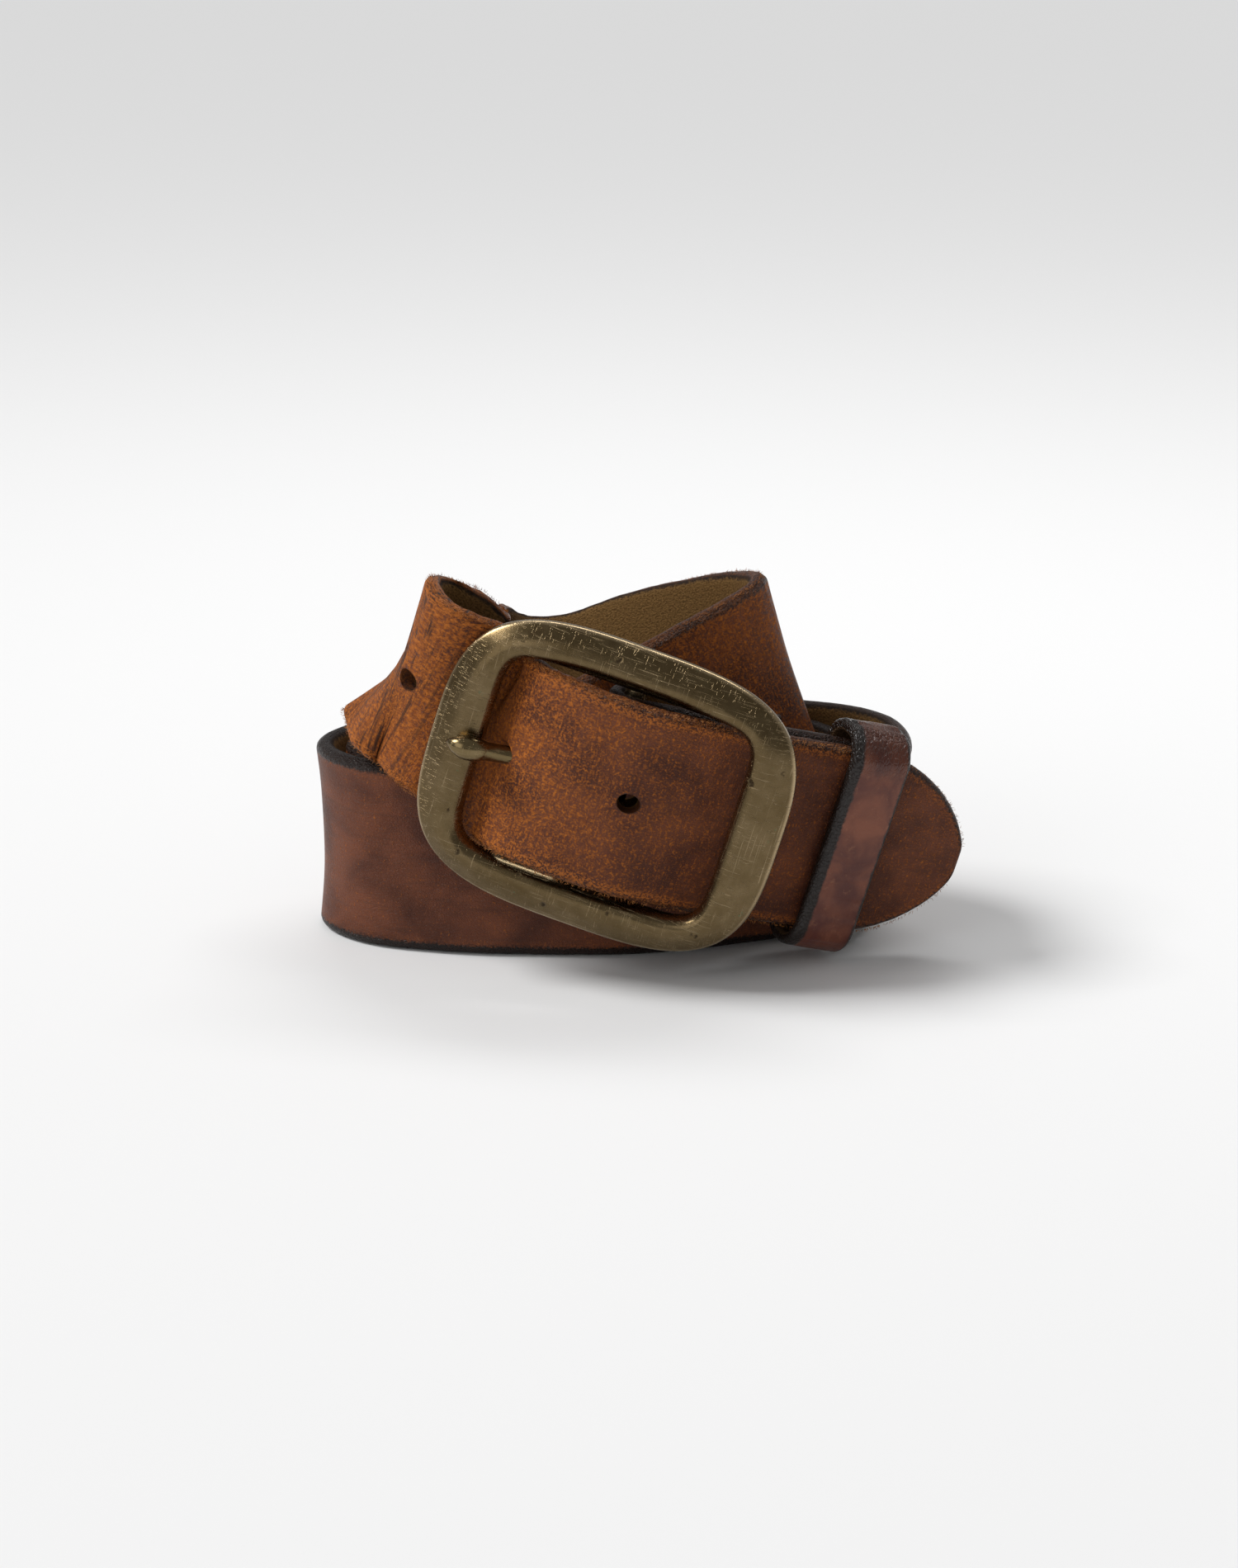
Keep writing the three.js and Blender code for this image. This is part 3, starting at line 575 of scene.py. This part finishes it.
crackle = leather.cells(leather.stretched(skin, (0.8, 1.3, 1.3)), 1.1)
polish = 0.42 + rubbed * 0.35 + (mottle - 0.5) * 0.25
polish = polish * (1 - burnished) + burnished * (0.3 + (fleck - 0.5) * 0.4)
leather.set(Roughness=polish * on_grain + 0.95 * (1 - on_grain))
leather.set(Specular_IOR_Level=0.22)
relief = fleck * (0.25 + rubbed * 0.5) + pores.step(0, 0.12) * 0.3 + mottle * 0.6
relief = relief + streaks * crease_s * 1.8 + burnished * crackle.step(0, 0.25) * 0.7
relief = relief + torn * fleck * 1.6
leather.bump(relief * on_grain + fleck * (1 - on_grain) * 2.4, 0.00022, 0.9)
strap.data.materials.append(leather.material)

# %% Put the strap in place of the rigid one
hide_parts("strap")
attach(strap, "strap")

# %% [markdown]
# ## Frayed fibres
# Where the grain has worn through, short fibres stand out of the edge and catch the light. One fibre is
# a thin three-sided spike. It is repeated along the frayed stretches, each copy with its own length and
# lean, and the copies make one mesh that rides with the strap. The draws are seeded, so they come out
# the same each time.

# %% Fibres along the worn edges
FIBRE_ROOT, FIBRE_POINT = 0.055, 0.012
SHORTEST, LONGEST = 0.22, 0.75
chance = np.random.default_rng(7)
# count, from, to (in millimetres along the strap), which edges, how far in from the edge
frayed_stretches = (
    (1500, 640, 690, (1, 1, -1), 0.6), (1100, 690, 752, (1, 1, -1), 0.45),
    (260, 752, 783, (1, -1), 0.25), (420, 540, 592, (1,), 0.4), (260, 505, 560, (-1, 1), 0.3))


def scatter_fibres(count, start, end, sides, reach_in):
    """Roots and tips of fibres, in metres: sides says which edges they grow on."""
    at = chance.uniform(start, end, count)
    edge = chance.choice(sides, count)
    inset = np.abs(chance.normal(0.15, reach_in, count))
    across = edge * (strap_half_width(at) - inset)
    place, up, out, ahead = (along_route(table, at) for table in (places, upwards, outwards, forwards))
    face = strap_thickness(at) - 0.5 * np.clip(1 - inset / 1.2, 0, 1) ** 2
    root = place + up * across[:, None] + out * (face - 0.08)[:, None]
    lean = (up * (edge * chance.uniform(0.1, 0.9, count))[:, None]
            + out * chance.uniform(0.15, 0.8, count)[:, None]
            + ahead * chance.normal(0, 0.7, count)[:, None])
    length = chance.uniform(SHORTEST, LONGEST, count)[:, None]
    return root * MM, (root + unit(lean) * length) * MM, ahead


bpy.ops.object.select_all(action="DESELECT")
bpy.ops.mesh.primitive_cone_add(
    vertices=3, radius1=FIBRE_ROOT * MM, radius2=FIBRE_POINT * MM, depth=1)
spike = bpy.context.object
spike_points = read_points(spike)
spike_faces = [list(face.vertices) for face in spike.data.polygons]
bpy.data.objects.remove(spike)
points, faces = [], []
for count, start, end, sides, reach_in in frayed_stretches:
    for root, tip, ahead in zip(*scatter_fibres(count, start, end, sides, reach_in)):
        axis = tip - root
        side = unit(np.cross(axis, ahead))
        other = unit(np.cross(side, axis))
        copy = (root + np.outer(spike_points[:, 2] + 0.5, axis)
                + np.outer(spike_points[:, 0], side) + np.outer(spike_points[:, 1], other))
        base = len(points) * len(spike_points)
        points.append(copy)
        faces += [[index + base for index in face] for face in spike_faces]
fibre_mesh = bpy.data.meshes.new("edge_fibres")
fibre_mesh.from_pydata(np.vstack(points).tolist(), [], faces)
fibre_mesh.update()
fibres = bpy.data.objects.new("edge_fibres", fibre_mesh)
bpy.context.collection.objects.link(fibres)
fibre_finish = Finish("leather_fibre", roughness=0.85)
body = fibre_finish.node("ShaderNodeTexCoord", output="Object")
tint = fibre_finish.noise(body, 900.0, 3.0, 0.6)
fibre_colour = fibre_finish.mix(tint.step(0.35, 0.65), (0.16, 0.05, 0.01), (0.5, 0.2, 0.05))
fibre_finish.set(Base_Color=fibre_colour)
fibre_mesh.materials.append(fibre_finish.material)
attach(fibres, "strap")
print("fibres:", len(points))

# %% [markdown]
# ## The buckle frame
# A cast frame buckle is a rounded ring with a domed face: thin at its outer rim, highest near the window,
# and flat behind. A torus has the right connections, a loop of sections, so each of its points is moved to
# its place on the section and round the two outlines. The outer outline bulges, and the window's is
# squarer. The centre bar is joined to it, as it is cast in one.

# %% Shape the frame
FRAME_LENGTH, FRAME_HEIGHT, FRAME_THICKNESS = 70, 57, 4.5
RAIL_WIDTH, BAR_DIAMETER = 10.2, 4.4
WINDOW_CLEARANCE = 1
WINDOW_HALF = HALF + WINDOW_CLEARANCE
RING_POINTS, SECTION_POINTS = 184, 40
section = np.array([
    (0.03, 0.12), (0, 0.5), (0, 1.35), (0.035, 1.95), (0.12, 2.5), (0.25, 3.2), (0.4, 3.95),
    (0.55, 4.4), (0.68, 4.5), (0.8, 4.3), (0.9, 3.7), (0.97, 2.8), (1, 1.8), (1, 0.7), (0.98, 0.12),
    (0.9, 0), (0.5, 0), (0.12, 0), (0.03, 0.12)])


def reach(angle, half_length, half_height, power):
    """How far a rounded rectangle reaches; a higher power squares its corners."""
    return (np.abs(np.cos(angle) / half_length) ** power
            + np.abs(np.sin(angle) / half_height) ** power) ** (-1 / power)


def place_in(piece, axes, origin):
    """Take a piece made in millimetres in its own frame to its place in metres."""
    points = read_points(piece)
    write_points(piece, (points @ axes + origin) * MM)


bpy.ops.object.select_all(action="DESELECT")
bpy.ops.mesh.primitive_torus_add(
    major_radius=2, minor_radius=1, major_segments=RING_POINTS, minor_segments=SECTION_POINTS)
buckle = bpy.context.object
buckle.name = "cast_buckle_frame"
x, y, z = read_points(buckle).T
angle = np.arctan2(y, x)
turn = (np.arctan2(z, np.hypot(x, y) - 2) / (2 * math.pi)) % 1
share, height = smooth_through(section, turn, False).T
outer = reach(angle, FRAME_LENGTH / 2, FRAME_HEIGHT / 2, 3.3)
window = reach(angle, FRAME_LENGTH / 2 - RAIL_WIDTH, WINDOW_HALF, 8)
distance = outer + (window - outer) * np.clip(share, 0, 1)
write_points(buckle, np.column_stack([
    distance * np.cos(angle), distance * np.sin(angle), np.maximum(height, 0)]))
face_outwards(buckle)

bar_end = WINDOW_HALF + (FRAME_HEIGHT / 2 - WINDOW_HALF) * 0.55
bpy.ops.mesh.primitive_cylinder_add(
    vertices=40, radius=BAR_DIAMETER / 2, depth=2 * bar_end, location=(0, 0, -BAR_SETBACK),
    rotation=(math.pi / 2, 0, 0))
bar = bpy.context.object
apply_modifier(bar, "BEVEL", width=0.7, segments=4, limit_method="ANGLE")
apply_modifier(buckle, "BOOLEAN", operation="UNION", object=bar, solver="EXACT")
bpy.data.objects.remove(bar)

x, y, z = read_points(buckle).T
angle = np.arctan2(y, x)
outer = reach(angle, FRAME_LENGTH / 2, FRAME_HEIGHT / 2, 3.3)
window = reach(angle, FRAME_LENGTH / 2 - RAIL_WIDTH, WINDOW_HALF, 8)
across_rail = (outer - np.hypot(x, y)) / (outer - window)
store(buckle, "cast", (x, y, z))
store(buckle, "rail", (across_rail, z / FRAME_THICKNESS, np.zeros_like(x)))
place_in(buckle, buckle_axes, buckle_origin)
smooth_piece(buckle, 50)
print("buckle:", len(buckle.data.polygons), "faces")

# %% [markdown]
# ## The prong
# The prong is a round shaft with an eye that turns on the bar. It comes up through the strap's hole,
# arches over the left rail and swells into a spear-shaped point that rests on it. A disc is extruded
# and scaled ring by ring, as a turned piece is made by hand, and the straight shaft is then laid along
# a curve. The eye is a ring, spun round the bar.

# %% Turn the shaft and bend it
NECK, BELLY = 1.8, 2.4
rail_inside = -(FRAME_LENGTH / 2 - RAIL_WIDTH)
PRONG_OVERHANG = 4.2
point_at = -FRAME_LENGTH / 2 + PRONG_OVERHANG
rest_height = FRAME_THICKNESS + CLEARANCE + BELLY
prong_route = np.array([
    (-3.5, 0, 0.7), (-10, 0, 1.1), (-15.5, 0, 1.7), (rail_inside + 5, 0, 2.9),
    (rail_inside + 1.5, 0, 5.1), ((rail_inside + point_at) / 2, 0, rest_height + 0.1),
    (point_at, 0, rest_height - 0.4)])
rings = [(0.1, NECK), (0.25, NECK), (0.4, NECK), (0.55, NECK * 0.98), (0.66, NECK * 0.97),
         (0.71, NECK * 0.98), (0.745, NECK * 1.12), (0.775, NECK * 1.28), (0.81, BELLY * 0.97),
         (0.85, BELLY), (0.89, BELLY * 0.9), (0.93, BELLY * 0.68), (0.965, BELLY * 0.42),
         (0.985, BELLY * 0.25), (0.996, BELLY * 0.12)]

bpy.ops.object.select_all(action="DESELECT")
bpy.ops.mesh.primitive_circle_add(vertices=32, radius=NECK * 0.8, fill_type="NGON")
prong = bpy.context.object
prong.name = "spear_prong"
bpy.ops.object.mode_set(mode="EDIT")
bpy.ops.mesh.select_all(action="SELECT")
reached, radius = 0.0, NECK * 0.8
for share_along, next_radius in rings:
    bpy.ops.mesh.extrude_region_move(
        TRANSFORM_OT_translate={"value": (0, 0, share_along - reached)})
    scale = next_radius / radius
    bpy.ops.transform.resize(value=(scale, scale, 1), center_override=(0, 0, share_along))
    reached, radius = share_along, next_radius
bpy.ops.object.mode_set(mode="OBJECT")
face_outwards(prong)

fine = np.linspace(0, 1, 600)
curve = smooth_through(prong_route, fine, True)
curve_length = np.concatenate([[0], np.cumsum(np.linalg.norm(np.diff(curve, axis=0), axis=1))])
tangents = unit(np.gradient(curve, axis=0))
x, y, z = read_points(prong).T
at = z * curve_length[-1]
centre = sample(at, curve_length, curve)
ahead = unit(sample(at, curve_length, tangents))
side = np.array([0, 1, 0])
write_points(prong, centre + x[:, None] * side + y[:, None] * np.cross(side, ahead))

# %% Spin the eye and join it
EYE_INSIDE, EYE_WALL, EYE_WIDTH = 2.55, 1.7, 4.6
bpy.ops.object.select_all(action="DESELECT")
bpy.ops.mesh.primitive_torus_add(
    major_radius=3, minor_radius=1, major_segments=48, minor_segments=20)
eye = bpy.context.object
x, y, z = read_points(eye).T
turn, around = np.arctan2(z, np.hypot(x, y) - 3), np.arctan2(y, x)
bulge = np.sign(np.cos(turn)) * np.abs(np.cos(turn)) ** 0.5
breadth = np.sign(np.sin(turn)) * np.abs(np.sin(turn)) ** 0.5
radius = EYE_INSIDE + EYE_WALL / 2 * (1 + bulge)
write_points(eye, np.column_stack([
    radius * np.cos(around), breadth * EYE_WIDTH / 2, -radius * np.sin(around) - BAR_SETBACK]))
face_outwards(eye)
apply_modifier(prong, "BOOLEAN", operation="UNION", object=eye, solver="EXACT")
bpy.data.objects.remove(eye)
x, y, z = read_points(prong).T
store(prong, "cast", (x, y, z))
store(prong, "rail", (np.full_like(x, 0.5), z / FRAME_THICKNESS, np.zeros_like(x)))
place_in(prong, buckle_axes, buckle_origin)
smooth_piece(prong, 50)
print("prong:", len(prong.data.polygons), "faces")

# %% [markdown]
# ## Antique brass
# Antique brass is browned in a bath and rubbed back, so the dark finish stays in the flat middle and the
# hollows. The bright rims are partly that rubbing and partly a painted highlight: the lines of light along
# the outer edge and the window's edge. Years of use add fine scratches in every direction, a few pits and
# green specks. All of it is colour and roughness on one metal.

# %% Brass finish
def antique_brass(name, dark, bright, shine):
    brass = Finish(name, roughness=0.34, metallic=1.0)
    _, _, _, body = brass.attribute("cast")
    across_r, _, _, _ = brass.attribute("rail")
    haze = brass.noise(body, 0.07, 4.0, 0.6, 0.6)
    tarnish = brass.noise(body, 0.35, 6.0, 0.65)
    grit = brass.noise(body, 3.2, 4.0, 0.6)
    scratches = [
        brass.noise(brass.stretched(body, scale, (0, 0, math.radians(turn))), 1.0, 2.0, 0.5)
        for turn, scale in ((24, (0.12, 5.2, 1)), (-38, (4.6, 0.1, 1)), (71, (0.14, 6.1, 1)))]
    scored = scratches[0].step(0.63, 0.7) + scratches[1].step(0.64, 0.7) + scratches[2].step(0.65, 0.7)
    # The rims are bright partly from rubbing and partly as a painted highlight along the outer edge and
    # the window's edge.
    rubbed_and_highlit_rim = across_r.step(0.09, 0.0) + across_r.step(0.86, 0.97) * 0.55
    wear_and_highlight = (rubbed_and_highlit_rim * 0.9 + 0.22 + (haze - 0.5) * 0.5 + (tarnish - 0.5) * 0.35 + scored * 0.3)
    colour = brass.mix(wear_and_highlight.step(0, 1.1), dark, bright)
    pit_cells = brass.cells(body, 0.16, "F1")
    pits = pit_cells.step(0.16, 0.09) * tarnish.step(0.5, 0.6)
    colour = brass.mix(pits * 0.85, colour, (0.03, 0.02, 0.012))
    green = (brass.noise(body, 0.55, 4.0, 0.6).step(0.66, 0.74)) * tarnish.step(0.42, 0.6) * 0.5
    colour = brass.mix(green, colour, (0.07, 0.16, 0.09))
    brass.set(Base_Color=colour)
    brass.set(Roughness=shine + (tarnish - 0.5) * 0.1 + (grit - 0.5) * 0.12 + pits * 0.3 + green * 0.3)
    brass.bump(grit * 0.2 + tarnish * 0.25 - scored * 0.35 - pits * 2.2, 0.00008, 0.7)
    return brass


frame_brass = antique_brass("antique_brass", (0.1, 0.068, 0.03), (0.4, 0.3, 0.175), 0.26)
prong_brass = antique_brass("polished_prong_brass", (0.14, 0.1, 0.045), (0.45, 0.35, 0.2), 0.22)
for piece, body_name, node, slot, finish in (
        (buckle, "buckle", "buckle_frame", "buckle_brass", frame_brass),
        (prong, "prong", "prong", "prong_brass", prong_brass)):
    piece.data.materials.clear()
    piece.data.materials.append(finish.material)
    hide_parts(node)
    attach(piece, body_name)

# %% [markdown]
# ## The keeper loop
# The keeper is its own short strip, wrapped round both layers of the strap and closed with a staple at
# the back. So it is cut by the same helper as the strap and wrapped round a rounded rectangle, starting
# at the staple. It sits a little loose, and its front face is crowned by the layers under it.

# %% Cut, wrap and crease the keeper
KEEPER_WIDTH, KEEPER_THICKNESS, KEEPER_PLACE = 12.5, 2.4, 47.7
KEEPER_SLACK, KEEPER_HEADROOM, CORNER = 1.2, 1.8, 4.1
keeper_back = FOLD_RADIUS - CLEARANCE - KEEPER_SLACK / 2
keeper_front = TIP_OUT + THICKNESS + CLEARANCE + KEEPER_SLACK / 2
half_depth, half_height = (keeper_front - keeper_back) / 2, HALF + KEEPER_HEADROOM


def loop_outline(steps=1600):
    """The loop's inner face from the middle of its back, round by the bottom."""
    corner = np.linspace(0, math.pi / 2, 60)
    points = [np.array([[-half_depth, 0]])]
    for centre_x, centre_y, start in (
            (-half_depth + CORNER, -half_height + CORNER, math.pi),
            (half_depth - CORNER, -half_height + CORNER, 1.5 * math.pi),
            (half_depth - CORNER, half_height - CORNER, 0),
            (-half_depth + CORNER, half_height - CORNER, 0.5 * math.pi)):
        points.append(np.column_stack([
            centre_x + CORNER * np.cos(start + corner), centre_y + CORNER * np.sin(start + corner)]))
    points.append(np.array([[-half_depth, 0]]))
    points = np.vstack(points)
    length = np.concatenate([[0], np.cumsum(np.linalg.norm(np.diff(points, axis=0), axis=1))])
    at = np.linspace(0, length[-1], steps)
    return at, sample(at, length, points)


loop_at, loop_points = loop_outline()
loop_forwards = unit(np.gradient(loop_points, axis=0))
kernel = np.ones(15) / 15
loop_forwards = unit(np.column_stack([
    np.convolve(np.pad(c, 7, mode="edge"), kernel, mode="valid") for c in loop_forwards.T]))
loop_out = np.column_stack([loop_forwards[:, 1], -loop_forwards[:, 0]])
KEEPER_LENGTH = loop_at[-1]

keeper = cut_strip("keeper_strip", np.linspace(0.06, KEEPER_LENGTH - 0.06, 260), 30,
                   lambda at: np.full_like(at, KEEPER_WIDTH / 2),
                   lambda at: np.full_like(at, KEEPER_THICKNESS), 0.9)
STAPLE_HOLE, STAPLE_INSET = 1.5, 3.5
cut_out(keeper, [punch(at, 0, STAPLE_HOLE) for at in (STAPLE_INSET, KEEPER_LENGTH - STAPLE_INSET)])
along, across, depth = read_points(keeper).T
top_bend = np.interp(along, loop_at, loop_points[:, 1]) / half_height
grain_share = depth / KEEPER_THICKNESS
crinkle = np.clip(top_bend * 3 - 2.1, 0, 1)
crowned = np.interp(along, loop_at, (loop_points[:, 0] > half_depth - 0.4).astype(float))
wrinkles = np.array([noise.noise((a * 0.9, b * 0.22, 5.5)) for a, b in zip(along, across)])
edge_gap = KEEPER_WIDTH / 2 - np.abs(across)
lift = depth + 0.28 * crowned * (1 - (across / KEEPER_WIDTH * 2) ** 2) * grain_share
lift += wrinkles * (0.08 + 0.3 * crinkle) * grain_share
centre = sample(along, loop_at, loop_points)
outward = unit(sample(along, loop_at, loop_out))
ring = centre + outward * lift[:, None]
write_points(keeper, np.column_stack([
    KEEPER_PLACE + across, ring[:, 1], (keeper_back + keeper_front) / 2 + ring[:, 0]]))
store(keeper, "flat", (along, across, depth))
store(keeper, "edge", (edge_gap, grain_share, crinkle))
place_in(keeper, run_axes, bar_centre)
face_outwards(keeper)
smooth_piece(keeper, 50)

# %% [markdown]
# The keeper was dyed redder than the strap and has stayed smoother. Its rims are black, and the tight
# bend at the top shines where the finish has crackled.

# %% Keeper finish
loop_leather = Finish("keeper_leather")
_, across_k, _, loop_skin = loop_leather.attribute("flat")
rim_k, grain_k, crinkle_k, _ = loop_leather.attribute("edge")
cloud = loop_leather.noise(loop_skin, 0.16, 3.0, 0.5, 0.4)
mottle = loop_leather.noise(loop_skin, 0.6, 6.0, 0.62)
fleck = loop_leather.noise(loop_skin, 3.0, 4.0, 0.6)
colour = loop_leather.mix(cloud.step(0.3, 0.72), (0.085, 0.018, 0.01), (0.21, 0.062, 0.028))
colour = loop_leather.mix((mottle - 0.5 + fleck * 0.3).step(0.2, 0.4) * 0.5, colour, (0.26, 0.1, 0.05))
colour = loop_leather.mix(crinkle_k * 0.7, colour, (0.022, 0.01, 0.007))
black_rim = (rim_k + (mottle - 0.5) * 1.1 + across_k.step(-1, 1) * 1.3).step(2.5, 1.9)
colour = loop_leather.mix(black_rim, colour, (0.012, 0.007, 0.005))
inner = grain_k.step(0.3, 0.15)
colour = loop_leather.mix(inner, colour, (0.09, 0.045, 0.016))
loop_leather.set(Base_Color=colour)
loop_leather.set(Roughness=0.36 + (mottle - 0.5) * 0.3 - crinkle_k * 0.14 + inner * 0.45)
loop_leather.set(Specular_IOR_Level=0.4)
crackle = loop_leather.cells(loop_skin, 1.3).step(0, 0.2)
loop_leather.bump(mottle * 0.5 + fleck * 0.35 + crackle * (crinkle_k + black_rim * 0.5), 0.0002, 0.8)
keeper.data.materials.append(loop_leather.material)
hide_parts("keeper_loop")
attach(keeper, "keeper")

# %% [markdown]
# ## Studs and staple
# The press studs and the keeper's staple keep their measured shapes, which are small and mostly hidden.
# They get their metals: satin pressed brass, and dull wire.

# %% Finishes for the small metal pieces
def plain_metal(name, dull, bright, roughness):
    metal = Finish(name, roughness=roughness, metallic=1.0)
    body = metal.node("ShaderNodeTexCoord", output="Object")
    clouds = metal.noise(body, 420.0, 4.0, 0.6)
    specks = metal.noise(body, 2600.0, 3.0, 0.6)
    metal.set(Base_Color=metal.mix(clouds.step(0.3, 0.7), dull, bright))
    metal.set(Roughness=roughness + (specks - 0.5) * 0.2)
    metal.bump(specks, 0.00004, 0.6)
    return metal.material


stud_metal = plain_metal("pressed_brass", (0.3, 0.22, 0.1), (0.52, 0.41, 0.22), 0.36)
wire_metal = plain_metal("staple_wire", (0.3, 0.29, 0.28), (0.55, 0.54, 0.52), 0.42)
for name, node in frame["nodes"].items():
    if "stud" in name or "staple" in name:
        node.data.materials.clear()
        node.data.materials.append(stud_metal if "stud" in name else wire_metal)

# %% [markdown]
# ## Floor and light
# The belt stands on a pale floor that fills the view. One wide, soft sun from the upper left gives the
# coil its shape and a faint shadow, a dimmer sky fills it, and two panels give the brass something to
# reflect.

# %% Floor, sun, sky and panels
bpy.ops.object.select_all(action="DESELECT")
bpy.ops.mesh.primitive_plane_add(size=12, location=(0, 2, -0.0002))
floor = bpy.context.object
floor.name = "floor"
paper = Finish("pale_paper", roughness=0.9)
paper.set(Base_Color=(0.84, 0.84, 0.84, 1), Specular_IOR_Level=0.05)
floor.data.materials.append(paper.material)

scene = bpy.context.scene
scene.view_settings.view_transform = "Standard"
world = bpy.data.worlds.new("studio")
world.use_nodes = True
world.node_tree.nodes["Background"].inputs["Color"].default_value = (1, 1, 1, 1)
world.node_tree.nodes["Background"].inputs["Strength"].default_value = 0.28
scene.world = world


def aim(lamp, place, towards):
    lamp.location = place
    lamp.rotation_euler = (Vector(towards) - Vector(place)).to_track_quat("-Z", "Y").to_euler()


def add_light(name, kind, energy, place, size=None, towards=(0, 0, 0.035)):
    data = bpy.data.lights.new(name, kind)
    data.energy = energy
    if kind == "SUN":
        data.angle = size
    else:
        data.shape, data.size, data.size_y = "RECTANGLE", size[0], size[1]
    lamp = bpy.data.objects.new(name, data)
    scene.collection.objects.link(lamp)
    aim(lamp, place, towards)
    return lamp


add_light("key_sun", "SUN", 2.3, (-1.1, 0.05, 1.3), math.radians(24))
add_light("front_panel", "AREA", 3.2, (-0.75, -0.85, 0.55), (0.9, 0.9))
add_light("top_panel", "AREA", 1.4, (0.1, 0.3, 0.6), (0.6, 0.14))
